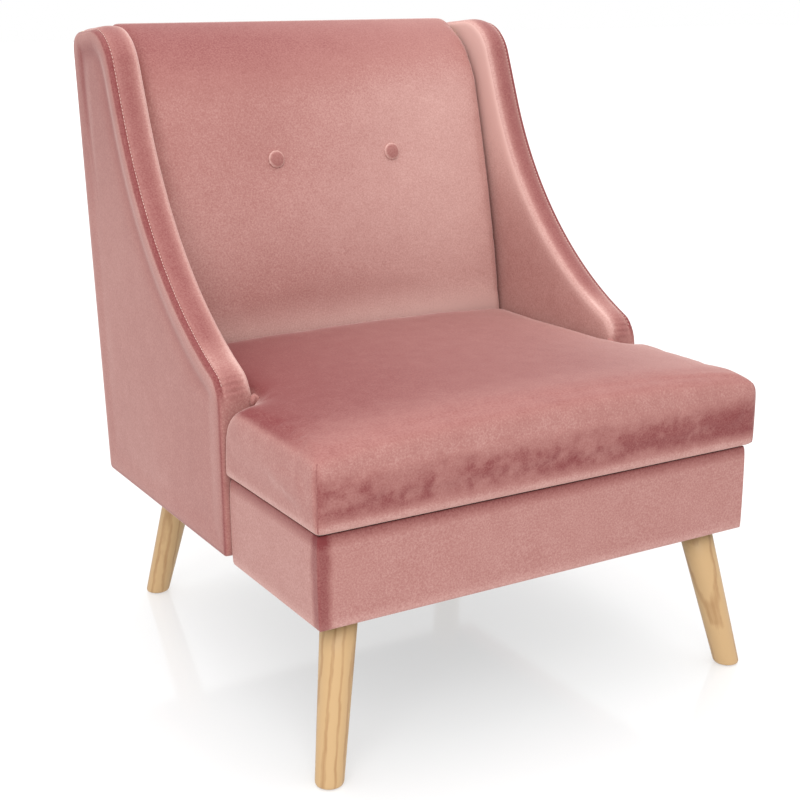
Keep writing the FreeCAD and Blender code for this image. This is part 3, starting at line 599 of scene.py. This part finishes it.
def seat_top_z(points):
    """Height of the cushion's top: crowned across, with rounded rear shoulders."""
    x, y = np.abs(points[:, 0]), points[:, 1]
    crown = SEAT_EDGE_Z + SEAT_CROWN * (1 - np.minimum(x / SEAT_WIDE_X, 1) ** 2.6)
    crown = crown - 0.003 * smoothstep(-0.33, -0.37, y)
    over = np.clip(y - (SEAT_STEP_Y - SEAT_SHOULDER), 0, SEAT_SHOULDER)
    drop = SEAT_SHOULDER - np.sqrt(SEAT_SHOULDER ** 2 - over ** 2)
    return crown - drop * smoothstep(0.284, 0.300, x)


def soft_box(half_width, front, rear, corner, roll):
    """Points and faces of a closed cushion block with a crowned top."""
    plan = [(-half_width, front), (half_width, front), (half_width, rear), (-half_width, rear)]
    loop = rounded_polygon(plan, [corner] * 4, 0.006)
    star = np.array((0, (front + rear) / 2))
    table = depth_table(loop, star)
    rows = []
    for inset, share in SEAT_PROFILE:
        inset = inset * roll if share > 0.7 and inset < 30 else inset
        flat = at_depth(loop, star, table, np.full(len(loop), inset * 0.001))
        z = SEAT_BOTTOM_Z + share * (seat_top_z(flat) - SEAT_BOTTOM_Z)
        rows.append(np.column_stack([flat, z]))
    rim = rows[-1][:, :2]
    top_share = SEAT_PROFILE[-1][1]
    for fraction in (0.25, 0.5, 0.75, 0.95):
        flat = rim + fraction * (star - rim)
        z = SEAT_BOTTOM_Z + top_share * (seat_top_z(flat) - SEAT_BOTTOM_Z)
        rows.append(np.column_stack([flat, z]))
    return np.concatenate(rows), closed_faces(len(rows), len(loop))


def seat_form():
    """The seat cushion's cover before filling: a wide front block and a narrow rear one."""
    front, front_faces = soft_box(SEAT_WIDE_X, SEAT_FRONT_Y, SEAT_STEP_Y, 0.003, 1.0)
    rear, rear_faces = soft_box(SEAT_NARROW_X, SEAT_OVERLAP_Y, SEAT_REAR_Y, 0.006, 0.35)
    faces = front_faces + [tuple(len(front) + v for v in face) for face in rear_faces]
    return mesh_object("seat_cushion_cover", np.vstack([front, rear]), faces)


def seat_painted_light_and_crush(points, facing):
    """Painted light and shade on the seat, with crushed-pile marks: painted shade on top, painted
    highlights on the front edge, the right side and the bottom lip, and painted shade in the rear crease.
    """
    x, y, z = points.T
    top = smoothstep(0.45, 0.9, facing[:, 2])
    front_edge = smoothstep(-0.25, -0.37, y)
    right = smoothstep(0.12, 0.32, x)
    left_rear = smoothstep(0.10, -0.30, x) * smoothstep(-0.36, -0.15, y)
    # Painted shade over the top, deepest at the left rear, with a painted highlight along the front edge
    # and to the right.
    on_top = -0.72 - 0.28 * left_rear + 0.50 * front_edge + 0.45 * right * (1 - front_edge)
    # On the sides: a little painted shade below the top edge, a painted highlight on the tucked bottom lip,
    # and painted shade across the middle of the front face, darker still in noise patches of crushed pile.
    upper = smoothstep(0.398, 0.415, z)
    lower = smoothstep(0.334, 0.322, z)
    middle = smoothstep(0.326, 0.344, z) * (1 - smoothstep(0.366, 0.394, z))
    marks = waves(points * (1, 1, 2.0), 15.0, 3) + 0.8 * waves(points * (1, 1, 1.2), 52.0, 6)
    marks = marks + 0.6 * waves(points, 130.0, 9)
    crushed = smoothstep(-0.5, 0.8, marks + 0.25 * smoothstep(0.1, 0.3, x))
    frontal = smoothstep(0.5, 0.9, -facing[:, 1])
    on_side = 0.04 - 0.05 * upper + 0.36 * lower - frontal * middle * (0.28 + 0.52 * crushed)
    # Darker down the front corners; painted shade in the crease where the seat meets the back.
    corner = np.exp(-((np.abs(x) - SEAT_WIDE_X) / 0.004) ** 2 - ((y - SEAT_FRONT_Y) / 0.004) ** 2)
    rear = smoothstep(0.10, 0.145, y)
    return (top * on_top + (1 - top) * on_side) * (1 - rear) - 0.85 * rear - 0.4 * corner


def seat_cushion_cover():
    """The filled seat cushion with a flat bottom."""
    cover = seat_form()
    remesh(cover, SEAT_VOXEL)
    rest = coordinates(cover)
    inflate(cover, SEAT_FILL_CAP)
    points = coordinates(cover)
    inside = smoothstep(0.012, 0.035, loop_distance(rest[:, :2], np.array(SEAT_OUTLINE)))
    inside = np.maximum(inside, rest[:, 1] > SEAT_STEP_Y)
    step = ((np.abs(rest[:, 0]) - SEAT_NARROW_X) / 0.022) ** 2 + ((rest[:, 1] - SEAT_STEP_Y) / 0.035) ** 2
    inside = np.maximum(inside, np.exp(-step))
    inside = (inside * smoothstep(0.36, 0.385, rest[:, 2]))[:, None]
    points = points * (1 - inside) + relax(points, cover, 0.5, 30) * inside
    low = smoothstep(SEAT_BOTTOM_Z + 0.05, SEAT_BOTTOM_Z + 0.005, rest[:, 2])[:, None]
    points = points * (1 - low) + rest * low
    points = points + SEAT_SWELL * normals(cover) * (1 - low)
    points[:, 2] = np.maximum(points[:, 2], SEAT_BOTTOM_Z)
    points[:, 1] = np.minimum(points[:, 1], SEAT_REAR_Y)
    points[:, 1] = np.maximum(points[:, 1], SEAT_FRONT_Y - 0.003)
    narrow = rest[:, 1] > SEAT_STEP_Y + 0.004
    limit = np.where(narrow, SEAT_NARROW_X, SEAT_WIDE_X + 0.0035)
    points[:, 0] = np.clip(points[:, 0], -limit, limit)
    wide = np.abs(rest[:, 0]) > SEAT_NARROW_X + 0.003
    points[:, 1] = np.where(wide, np.minimum(points[:, 1], SEAT_STEP_Y), points[:, 1])
    set_coordinates(cover, relax(points, cover, 0.15, 1))
    set_tone(cover, np.zeros(len(points)))
    subdivide(cover)
    lay_painted_light(cover, seat_painted_light_and_crush)
    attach(cover, "loose_cushion")
    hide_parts("seat_cushion")
    return cover


def seat_corner_seam(side, sign, cover):
    """The sewn seam down a front corner of the seat cushion."""
    inward = Vector((-sign, 1, 0)).normalized()
    guide = [(sign * SEAT_WIDE_X, SEAT_FRONT_Y, z) for z in np.linspace(0.321, 0.402, 40)]
    path = surface_line(cover, guide, inward, -0.0002)
    made = tube(f"seat_corner_seam_{side}", path, 0.0009)
    set_tone(made, np.full(len(made.data.vertices), -0.4))
    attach(made, "loose_cushion")
    return made


def arc_through(start, end, radius, count):
    """Points of an arc between two points that bulges to the left of start-to-end."""
    start, end = np.array(start, float), np.array(end, float)
    chord = end - start
    half = np.linalg.norm(chord) / 2
    normal = np.array((-chord[1], chord[0])) / (2 * half)
    height = math.sqrt(max(radius * radius - half * half, 0))
    centre = (start + end) / 2 - normal * height
    angle0 = math.atan2(*(start - centre)[::-1])
    angle1 = math.atan2(*(end - centre)[::-1])
    turn = (angle1 - angle0 + math.pi) % (2 * math.pi) - math.pi
    angles = angle0 + turn * np.arange(count) / count
    return np.column_stack([centre[0] + radius * np.cos(angles), centre[1] + radius * np.sin(angles)])


def back_rear_y(z):
    """The line that the back cushion rests on."""
    return 0.210 + (z - 0.3167) * 91 / 521.3 - 0.002


def back_profile(crown):
    """The closed (y, z) section of the back cushion. crown is 0 at the sides, 1 in the middle."""
    knee = (0.229 - 0.017 * crown, BACK_KNEE_Z)
    top = (0.322, 0.858 + 0.004 * crown)
    behind = (0.349, 0.860)
    parts = [
        arc_through((BACK_FRONT_Y, BACK_FOOT_Z), (BACK_FRONT_Y, BACK_SEAT_Z), 4.0, 14),
        arc_through((BACK_FRONT_Y, BACK_SEAT_Z), knee, 2.05 - 0.95 * crown, 48),
        arc_through(knee, top, 0.148, 20),
        arc_through(top, behind, 0.2, 5),
        arc_through(behind, (0.3625, BACK_REAR_Z), 0.02, 6),
    ]
    rear_z = np.linspace(BACK_REAR_Z, BACK_FOOT_Z, 40)
    rear = np.column_stack([np.minimum(back_rear_y(rear_z), 0.362), rear_z])
    foot = np.column_stack([np.linspace(rear[-1, 0], BACK_FRONT_Y, 8)[1:-1], np.full(6, BACK_FOOT_Z)])
    return np.vstack([*parts, rear, foot])


def back_form():
    """The back cushion's cover before filling."""
    edge = 0.012
    shoulder = 0.016
    turns = np.radians(np.linspace(90, 12, 8))
    ends = BACK_HALF_WIDTH - 0.001 - edge + edge * np.sin(turns)
    middle = np.linspace(-ends[-1], ends[-1], 60)
    stations = np.concatenate([-ends[:-1], middle, ends[:-1][::-1]])
    rows = []
    for x in stations:
        crown = max(0.0, 1 - (abs(x) / BACK_HALF_WIDTH) ** 2.4)
        profile = back_profile(crown)
        over = max(0.0, abs(x) - (BACK_HALF_WIDTH - shoulder))
        drop = shoulder - math.sqrt(max(shoulder ** 2 - over ** 2, 0))
        high = smoothstep(0.70, 0.86, profile[:, 1])
        behind = smoothstep(0.262, 0.292, profile[:, 0])
        z = profile[:, 1] - (drop * (1 - behind) + min(drop, 0.003) * behind) * high
        past = min(edge, max(0.0, abs(x) - (BACK_HALF_WIDTH - 0.001 - edge)))
        step = edge - math.sqrt(max(edge ** 2 - past ** 2, 0))
        middle_y = (back_rear_y(profile[:, 1]) + 0.19) / 2 + 0.02
        y = profile[:, 0] + step * np.where(profile[:, 0] < middle_y, 1.0, -0.6)
        rows.append(np.column_stack([np.full(len(y), x), y, z]))
    return mesh_object("back_cover", np.concatenate(rows), closed_faces(len(rows), len(rows[0])))


def back_painted_light_and_mottle(points, facing):
    """Painted light on the back: painted shade near the top, painted light to the right, below and across
    the middle, and a little random mottle.
    """
    x, z = points[:, 0], points[:, 2]
    top = smoothstep(0.74, 0.85, z)
    right = smoothstep(-0.15, 0.22, x)
    low = smoothstep(0.48, 0.42, z)
    drift = 0.10 * waves(points, 5.0, 8)
    centre = np.exp(-((z - 0.56) / 0.09) ** 2)
    return 0.03 + 0.38 * right - 0.65 * top + 0.62 * low + 0.16 * centre + drift


def button_frame(sign):
    """The middle of a button's seat and the direction it faces."""
    facing = Vector((0, -math.cos(BUTTON_TILT), math.sin(BUTTON_TILT)))
    return Vector((sign * BUTTON_X, *BUTTON_POINT)), facing


def back_cover():
    """The filled back cushion, drawn in a little round its buttons."""
    cover = back_form()
    remesh(cover, BACK_VOXEL)
    rest = coordinates(cover)
    inflate(cover, BACK_FILL_CAP)
    points = coordinates(cover)
    hidden = smoothstep(0.44, 0.40, rest[:, 2])
    for sign in (-1, 1):
        away = np.linalg.norm(rest - np.array(button_frame(sign)[0]), axis=1)
        hidden = np.maximum(hidden, np.exp(-(away / 0.06) ** 2))
    hidden = hidden[:, None]
    points = points * (1 - hidden) + rest * hidden
    points[:, 0] = np.clip(points[:, 0], -BACK_HALF_WIDTH, BACK_HALF_WIDTH)
    points[:, 1] = np.maximum(points[:, 1], 0.156)
    rear = back_rear_y(points[:, 2])
    behind = np.where(rest[:, 1] > rear - 0.001, 0.3645, rear)
    points[:, 1] = np.minimum(points[:, 1], np.maximum(rear, behind))
    points[:, 2] = np.clip(points[:, 2], 0.3172, 0.8615)
    for sign in (-1, 1):
        seat, facing = button_frame(sign)
        away = points - np.array(seat)
        along = away @ np.array(facing)
        radial = np.linalg.norm(away - along[:, None] * np.array(facing), axis=1)
        front = (along > -0.03) & (along < 0.03) & (radial < BUTTON_DIMPLE_RADIUS)
        highest = -0.0012 + 0.006 * smoothstep(0.0118, BUTTON_DIMPLE_RADIUS, radial)
        pull = np.where(front, np.maximum(along - highest, 0), 0)
        points -= pull[:, None] * np.array(facing)
    set_coordinates(cover, relax(points, cover, 0.4, 1))
    set_tone(cover, np.zeros(len(points)))
    subdivide(cover)
    lay_painted_light(cover, back_painted_light_and_mottle)
    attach(cover, "chair_frame")
    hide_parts("back_cushion")
    return cover


def lathe(name, profile, count, centre, axis, ripple=0.0):
    """A turned form from (radius, height) pairs round an axis."""
    turn = axis.to_track_quat("Z", "Y").to_matrix()
    points = []
    for radius, height in profile:
        for k in range(count):
            a = 2 * math.pi * k / count
            r = radius * (1 + ripple * math.sin(a * 11) * (height < 0.002))
            points.append(centre + turn @ Vector((r * math.cos(a), r * math.sin(a), height)))
    return mesh_object(name, points, closed_faces(len(profile), count))


def button(side, sign):
    """A fabric-covered dome button."""
    seat, facing = button_frame(sign)
    profile = [(0.0078, -0.0035), (0.0110, -0.0025), (0.0122, -0.0008), (0.0125, 0.0006), (0.0120, 0.0018),
               (0.0106, 0.0027), (0.0086, 0.0034), (0.0061, 0.0040), (0.0034, 0.0043), (0.001, 0.0044)]
    made = lathe(f"button_cover_{side}", profile, 44, seat, facing, ripple=0.02)
    away = coordinates(made) - np.array(seat)
    radial = np.linalg.norm(away - (away @ np.array(facing))[:, None] * np.array(facing), axis=1)
    # Painted highlight round the button's rim; the dome itself a little deeper.
    set_tone(made, smoothstep(0.0098, 0.0116, radial) - 0.2)
    subdivide(made)
    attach(made, "chair_frame")
    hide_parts(f"back_button_{side}")
    return made


# --- base
# (outward from the pads, height) in mm, from the turned-under bottom edge to the top.
BASE_SECTION = [
    (-3, 200), (-1, 198.6), (0.6, 198.2), (1.9, 199.2), (2.5, 202), (2.7, 212), (2.9, 235), (3.0, 258),
    (2.9, 280), (2.7, 298), (2.2, 307), (1.3, 312), (0, 314.2), (-3, 315),
]


def base_path(pitch=0.004):
    """Plan points and outward directions along the base: left side, front, right side."""
    points = []
    turns = []
    for y in np.arange(BASE_REAR_Y, BASE_INNER_Y, -pitch):
        points.append((-BASE_INNER_X, y))
        turns.append(180)
    for a in np.linspace(180, 270, 10):
        points.append((-BASE_INNER_X, BASE_INNER_Y))
        turns.append(a)
    count = int(2 * BASE_INNER_X / pitch)
    for x in np.linspace(-BASE_INNER_X, BASE_INNER_X, count)[1:-1]:
        points.append((x, BASE_INNER_Y))
        turns.append(270)
    for a in np.linspace(270, 360, 10):
        points.append((BASE_INNER_X, BASE_INNER_Y))
        turns.append(a)
    for y in np.arange(BASE_REAR_Y, BASE_INNER_Y, -pitch)[::-1]:
        points.append((BASE_INNER_X, y))
        turns.append(360)
    angles = np.radians(turns)
    return np.array(points), np.column_stack([np.cos(angles), np.sin(angles)])


def base_cover():
    """The velvet round the front and sides of the base."""
    path, outward = base_path()
    rows = []
    values = []
    for out, z in BASE_SECTION:
        height = np.full(len(path), z * 0.001)
        sample = np.column_stack([path, height])
        face = smoothstep(1.0, 2.5, out)
        swell = 0.0007 * waves(sample, 11.0, 5) * face
        reach = np.maximum(np.abs(np.abs(path[:, 0]) - BASE_INNER_X), np.abs(path[:, 1] - BASE_INNER_Y))
        wave = noise.noise(Vector((z * 0.045, 1.0, 2.0))) + 0.5 * noise.noise(Vector((z * 0.14, 5.0, 2.0)))
        # Painted shade in a wavy band down the front-left corner.
        corner_shade = (1 - smoothstep(0.006 + 0.006 * wave, 0.017 + 0.006 * wave, reach)) * (path[:, 0] < 0)
        shade = smoothstep(298, 312, z) * (1 + 0.5 * noise.noise(Vector((z, 1.0, 2.0))))
        flat = path + outward * (out * 0.001 + swell)[:, None]
        rows.append(np.column_stack([flat, height]))
        front = np.abs(outward[:, 1]) > 0.5
        # Painted tone: the sides painted paler than the front, a painted highlight on the turned-under
        # bottom edge, and painted shade under the cushion's overhang at the top.
        values.append(-0.8 * corner_shade + np.where(front, 0.12, 0.20) + 0.25 * (z < 206) - 0.7 * shade)
    points = np.concatenate(rows)
    columns = len(path)
    faces = grid_faces(len(rows), columns, wrap_rows=True)
    faces.append(tuple(r * columns for r in range(len(rows))))
    faces.append(tuple(r * columns + columns - 1 for r in range(len(rows) - 1, -1, -1)))
    cover = mesh_object("base_cover", points, faces)
    set_tone(cover, np.concatenate(values))
    subdivide(cover)
    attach(cover, "chair_frame")
    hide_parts("base_pad_front", "base_pad_left", "base_pad_right")
    return cover


# (inset from the panel's outline, how far out from the rear plane), in metres.
REAR_PANEL_RINGS = (
    (0, -0.0028), (0, -0.0012), (0.0008, -0.0003), (0.002, 0.0), (0.006, 0.0004), (0.02, 0.0006),
    (0.034, 0.0006), (0.040, 0.0006), (0.046, 0.0006), (0.053, 0.0006),
)


def rear_cover():
    """The covered panel that closes the back."""
    low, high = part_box("back_outer_panel")
    low.z = ARM_BOTTOM_Z
    half = high.x - 0.0005
    corner = 0.016
    columns = 240
    points = []
    for inset, out in REAR_PANEL_RINGS:
        plan = rounded_polygon(
            [(-half + inset, low.z + inset), (half - inset, low.z + inset),
             (half - inset, high.z - inset), (-half + inset, high.z - inset)],
            [corner - min(inset, 0.006)] * 4, 0.004)
        row = plan[np.linspace(0, len(plan), columns, endpoint=False).astype(int)]
        z = row[:, 1]
        y = REAR_TOP_Y - (REAR_TOP_Z - z) * REAR_LEAN + out
        above = np.clip(z - (ARM_TOP_Z - ARM_TOP_FALL - ARM_CORNER), 0, ARM_CORNER * 0.95)
        curl = ARM_CORNER - np.sqrt(ARM_CORNER ** 2 - above ** 2)
        y = y - curl * smoothstep(0.276, 0.290, np.abs(row[:, 0]))
        points.append(np.column_stack([row[:, 0], y, z]))
    points = np.concatenate(points)
    cover = mesh_object("back_panel_cover", points, closed_faces(len(REAR_PANEL_RINGS), columns))
    set_tone(cover, np.zeros(len(points)))
    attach(cover, "chair_frame")
    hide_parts("back_outer_panel")
    return cover


# --- legs
def leg(name, foot):
    """A splayed, tapered round leg; its own Z runs along its grain."""
    lean_x = -math.copysign(LEG_SPLAY, foot[0]) * (LEG_TOP_Z - LEG_BOTTOM_Z) / LEG_SPLAY_HEIGHT
    lean_y = -math.copysign(LEG_SPLAY, foot[1]) * (LEG_TOP_Z - LEG_BOTTOM_Z) / LEG_SPLAY_HEIGHT
    start = Vector((*foot, LEG_BOTTOM_Z))
    end = start + Vector((lean_x, lean_y, LEG_TOP_Z - LEG_BOTTOM_Z))
    count = 40
    stations = [(0, 0.86), (0.004, 0.935), (0.012, 0.985), (0.022, 1.0), (0.1, 1.0), (0.3, 1.0),
                (0.5, 1.0), (0.75, 1.0), (1.0, 1.0)]
    axis = (end - start).normalized()
    turn = axis.to_track_quat("Z", "Y").to_matrix().to_4x4()
    place = Matrix.Translation(start) @ turn
    back = place.inverted()
    points = []
    for t, share in stations:
        centre = start.lerp(end, t)
        radius = (LEG_FOOT_RADIUS + (LEG_TOP_RADIUS - LEG_FOOT_RADIUS) * t) * share
        for k in range(count):
            a = 2 * math.pi * k / count
            points.append(back @ (centre + Vector((radius * math.cos(a), radius * math.sin(a), 0))))
    made = mesh_object(f"{name}_wood", points, closed_faces(len(stations), count))
    made.matrix_world = place
    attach(made, "chair_frame")
    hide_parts(name)
    return made


# --- materials
def srgb(red, green, blue):
    """Linear colour from 0..255 display values."""
    def linear(v):
        v = v / 255
        return v / 12.92 if v <= 0.04045 else ((v + 0.055) / 1.055) ** 2.4
    return (linear(red), linear(green), linear(blue), 1)


def new_material(name):
    """A node material with its shader, ready to be wired."""
    made = bpy.data.materials.new(name)
    made.use_nodes = True
    shader = made.node_tree.nodes["Principled BSDF"]
    return made, made.node_tree, shader


def roughen(tree, shader, height, strength, distance):
    """Gives a shader a small relief."""
    bump = tree.nodes.new("ShaderNodeBump")
    bump.inputs["Strength"].default_value = strength
    bump.inputs["Distance"].default_value = distance
    tree.links.new(height, bump.inputs["Height"])
    tree.links.new(bump.outputs["Normal"], shader.inputs["Normal"])


def math_node(tree, operation, a, b):
    """A maths node whose inputs are sockets or numbers."""
    made = tree.nodes.new("ShaderNodeMath")
    made.operation = operation
    for index, value in enumerate((a, b)):
        if isinstance(value, (int, float)):
            made.inputs[index].default_value = value
        else:
            tree.links.new(value, made.inputs[index])
    return made.outputs[0]


def ramp(tree, source, stops):
    """A colour ramp on a value."""
    made = tree.nodes.new("ShaderNodeValToRGB")
    tree.links.new(source, made.inputs["Fac"])
    elements = made.color_ramp.elements
    while len(elements) < len(stops):
        elements.new(0.5)
    for element, (position, colour) in zip(elements, stops):
        element.position = position
        element.color = colour
    return made.outputs["Color"]


def scaled_noise(tree, source, scale, detail, rough=0.55, stretch=(1, 1, 1)):
    """Noise on object coordinates, stretched as asked."""
    mapping = tree.nodes.new("ShaderNodeMapping")
    mapping.inputs["Scale"].default_value = stretch
    tree.links.new(source, mapping.inputs["Vector"])
    made = tree.nodes.new("ShaderNodeTexNoise")
    made.inputs["Scale"].default_value = scale
    made.inputs["Detail"].default_value = detail
    made.inputs["Roughness"].default_value = rough
    tree.links.new(mapping.outputs["Vector"], made.inputs["Vector"])
    return made.outputs["Fac"]


def velvet(name, deep, mid, pale, patch=0.16, patch_scale=30):
    """Short-pile velvet: the painted light and shade in the tone attribute set its depth of colour, and its
    sheen catches light at the edges.
    """
    made, tree, shader = new_material(name)
    where = tree.nodes.new("ShaderNodeTexCoord")
    patches = scaled_noise(tree, where.outputs["Object"], patch_scale, 4.0, 0.62)
    speck = scaled_noise(tree, where.outputs["Object"], 430, 2.0, 0.7)
    # The tone attribute carries the painted light and shade laid on each piece.
    tone = tree.nodes.new("ShaderNodeAttribute")
    tone.attribute_name = "tone"
    value = math_node(tree, "MULTIPLY", math_node(tree, "SUBTRACT", patches, 0.5), patch)
    specks = math_node(tree, "MULTIPLY", math_node(tree, "SUBTRACT", speck, 0.5), 0.55)
    value = math_node(tree, "ADD", value, specks)
    value = math_node(tree, "ADD", value, math_node(tree, "MULTIPLY", tone.outputs["Fac"], 0.5))
    value = math_node(tree, "ADD", value, 0.5)
    colour = ramp(tree, value, [(0.0, deep), (0.5, mid), (1.0, pale)])
    tree.links.new(colour, shader.inputs["Base Color"])
    shader.inputs["Roughness"].default_value = 0.62
    shader.inputs["Specular IOR Level"].default_value = 0.22
    shader.inputs["Sheen Weight"].default_value = 0.6
    shader.inputs["Sheen Roughness"].default_value = 0.32
    shader.inputs["Sheen Tint"].default_value = srgb(250, 224, 216)
    fine = scaled_noise(tree, where.outputs["Object"], 1100, 2.0, 0.6)
    soft = scaled_noise(tree, where.outputs["Object"], 70, 3.0, 0.5)
    height = math_node(tree, "ADD", math_node(tree, "MULTIPLY", fine, 0.35),
                       math_node(tree, "MULTIPLY", soft, 0.35))
    roughen(tree, shader, height, 0.25, 0.001)
    return made


def grain_wood(name, light, dark):
    """Wood whose growth rings run round a line slightly off the piece's own Z."""
    tilt = 0.09
    made, tree, shader = new_material(name)
    where = tree.nodes.new("ShaderNodeTexCoord")
    mapping = tree.nodes.new("ShaderNodeMapping")
    mapping.inputs["Location"].default_value = (0.03, 0.01, 0)
    mapping.inputs["Rotation"].default_value = (tilt, tilt * 0.7, 0)
    tree.links.new(where.outputs["Object"], mapping.inputs["Vector"])
    wave = tree.nodes.new("ShaderNodeTexWave")
    wave.wave_type = "RINGS"
    wave.rings_direction = "Z"
    wave.inputs["Scale"].default_value = 26.0
    wave.inputs["Distortion"].default_value = 1.6
    wave.inputs["Detail"].default_value = 2.0
    wave.inputs["Detail Scale"].default_value = 1.4
    tree.links.new(mapping.outputs["Vector"], wave.inputs["Vector"])
    pores = scaled_noise(tree, where.outputs["Object"], 260, 3.0, 0.6, (1, 1, 0.06))
    value = math_node(tree, "ADD", math_node(tree, "MULTIPLY", wave.outputs["Fac"], 0.6),
                      math_node(tree, "MULTIPLY", pores, 0.4))
    colour = ramp(tree, value, [(0.2, light), (0.62, light), (0.85, dark)])
    tree.links.new(colour, shader.inputs["Base Color"])
    shader.inputs["Roughness"].default_value = 0.45
    shader.inputs["Specular IOR Level"].default_value = 0.4
    roughen(tree, shader, pores, 0.15, 0.0004)
    return made


def plain(name, colour, colour2, rough, metal=0.0, scale=80.0, bump_size=0.0003, stretch=(1, 1, 1)):
    """A simple finish with a little noise in its colour and surface."""
    made, tree, shader = new_material(name)
    where = tree.nodes.new("ShaderNodeTexCoord")
    grain = scaled_noise(tree, where.outputs["Object"], scale, 3.0, 0.6, stretch)
    tree.links.new(ramp(tree, grain, [(0.3, colour), (0.75, colour2)]), shader.inputs["Base Color"])
    shader.inputs["Roughness"].default_value = rough
    shader.inputs["Metallic"].default_value = metal
    roughen(tree, shader, grain, 0.3, bump_size)
    return made


def paint(obj, material):
    """Gives a piece one material."""
    obj.data.materials.clear()
    obj.data.materials.append(material)


def cad_finish(name, finishes):
    """The finish of a CAD node that shows as it is, by the first rule that fits its name."""
    rules = (
        (("ply", "stile", "seat_board"), "ply"),
        (("rail", "block", "batten"), "frame"),
        (("clips", "glide"), "glide"),
        (("leg_hanger", "bolt", "washer", "tee_nut", "insert", "spring"), "steel"),
        (("webbing", "twine"), "webbing"),
        (("deck",), "felt"),
        (("dust",), "dust"),
    )
    for words, finish in rules:
        if any(word in name for word in words):
            return finishes[finish]
    return finishes["frame"]


# --- stage
def build_camera():
    """The camera, set by its place, its turn and its lens."""
    yaw, pitch, roll = math.radians(30.3), math.radians(15.7), math.radians(-0.5)
    forward = Vector((math.sin(yaw) * math.cos(pitch), math.cos(yaw) * math.cos(pitch), -math.sin(pitch)))
    right = Vector((math.cos(yaw), -math.sin(yaw), 0))
    up = right.cross(forward)
    turned_right = right * math.cos(roll) + up * math.sin(roll)
    turned_up = up * math.cos(roll) - right * math.sin(roll)
    data = bpy.data.cameras.new("camera")
    data.lens = 64.5
    data.sensor_width = 36
    data.clip_end = 100
    made = bpy.data.objects.new("camera", data)
    bpy.context.scene.collection.objects.link(made)
    turn = Matrix((turned_right, turned_up, -forward)).transposed()
    made.matrix_world = Matrix.Translation((-0.9968, -1.7013, 0.8946)) @ turn.to_4x4()
    bpy.context.scene.camera = made


def area_light(name, place, size, power):
    """A square soft box that faces the chair."""
    target = Vector((0, 0, 0.4))
    data = bpy.data.lights.new(name, "AREA")
    data.shape = "SQUARE"
    data.size = size
    data.energy = power
    made = bpy.data.objects.new(name, data)
    bpy.context.scene.collection.objects.link(made)
    made.location = place
    made.rotation_euler = (target - Vector(place)).to_track_quat("-Z", "Y").to_euler()


def build_studio():
    """White studio: a pale glossy floor and large soft lights."""
    world = bpy.data.worlds.new("studio")
    bpy.context.scene.world = world
    world.use_nodes = True
    background = world.node_tree.nodes["Background"]
    background.inputs["Color"].default_value = (1, 1, 1, 1)
    background.inputs["Strength"].default_value = 1.0
    size = 30
    floor = mesh_object("floor", [(-size, -size, 0), (size, -size, 0), (size, size, 0), (-size, size, 0)],
                        [(0, 1, 2, 3)], smooth=False)
    finish, _, shader = new_material("studio_floor")
    shader.inputs["Base Color"].default_value = (0.44, 0.44, 0.44, 1)
    shader.inputs["Roughness"].default_value = 0.10
    shader.inputs["Specular IOR Level"].default_value = 0.30
    shader.inputs["Emission Color"].default_value = (1, 1, 1, 1)
    shader.inputs["Emission Strength"].default_value = 0.50
    paint(floor, finish)
    area_light("key", (-1.9, -2.6, 2.4), 2.8, 75)
    area_light("top", (0.3, 0.3, 3.0), 2.6, 40)
    bpy.context.scene.view_settings.view_transform = "Standard"


def inner_finishes():
    """The finishes of what lies under the covers."""
    return {
        "ply": plain("ply_birch", srgb(214, 184, 140), srgb(196, 162, 116), 0.6, scale=30,
                     stretch=(4, 0.4, 1)),
        "frame": plain("frame_pine", srgb(222, 190, 138), srgb(202, 164, 108), 0.6, scale=24,
                       stretch=(0.5, 4, 4)),
        "steel": plain("zinc_steel", srgb(190, 192, 196), srgb(160, 163, 168), 0.32, metal=1.0, scale=300),
        "webbing": plain("webbing_cloth", srgb(168, 150, 122), srgb(120, 104, 82), 0.9, scale=500),
        "felt": plain("deck_felt", srgb(74, 62, 60), srgb(52, 42, 41), 0.95, scale=220, bump_size=0.001),
        "dust": plain("dust_cloth", srgb(34, 33, 34), srgb(22, 21, 22), 0.9, scale=600),
        "glide": plain("glide_plastic", srgb(46, 44, 43), srgb(34, 32, 32), 0.45, scale=400),
    }


def build():
    """Every piece, its finish, then the stage."""
    finishes = inner_finishes()
    # The velvet ramp runs from deep to pale as the painted light and shade in the tone attribute move it.
    deep, mid, pale = srgb(118, 49, 51), srgb(163, 112, 106), srgb(208, 168, 160)
    arm_velvet = velvet("velvet_arm", deep, mid, pale)
    seat_velvet = velvet("velvet_seat", deep, mid, pale, patch=0.22, patch_scale=42)
    back_velvet = velvet("velvet_back", deep, mid, pale, patch=0.12)
    base_velvet = velvet("velvet_base", deep, mid, pale, patch=0.12)
    thread = plain("stitch_thread", srgb(222, 186, 176), srgb(206, 164, 154), 0.7, scale=900)
    leg_wood = grain_wood("leg_ash", srgb(192, 158, 114), srgb(168, 130, 88))
    for name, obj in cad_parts.items():
        paint(obj, cad_finish(name, finishes))
    for side, sign in (("left", -1), ("right", 1)):
        paint(arm_cover(side, sign), arm_velvet)
        paint(arm_stitches(side, sign), thread)
        paint(button(side, sign), back_velvet)
    paint(back_cover(), back_velvet)
    paint(base_cover(), base_velvet)
    paint(rear_cover(), arm_velvet)
    for name, foot in LEG_FEET.items():
        paint(leg(name, foot), leg_wood)
    cushion = seat_cushion_cover()
    paint(cushion, seat_velvet)
    for side, sign in (("left", -1), ("right", 1)):
        paint(seat_corner_seam(side, sign, cushion), seat_velvet)
        paint(arm_knob(side, sign), arm_velvet)
    build_camera()
    build_studio()


build()
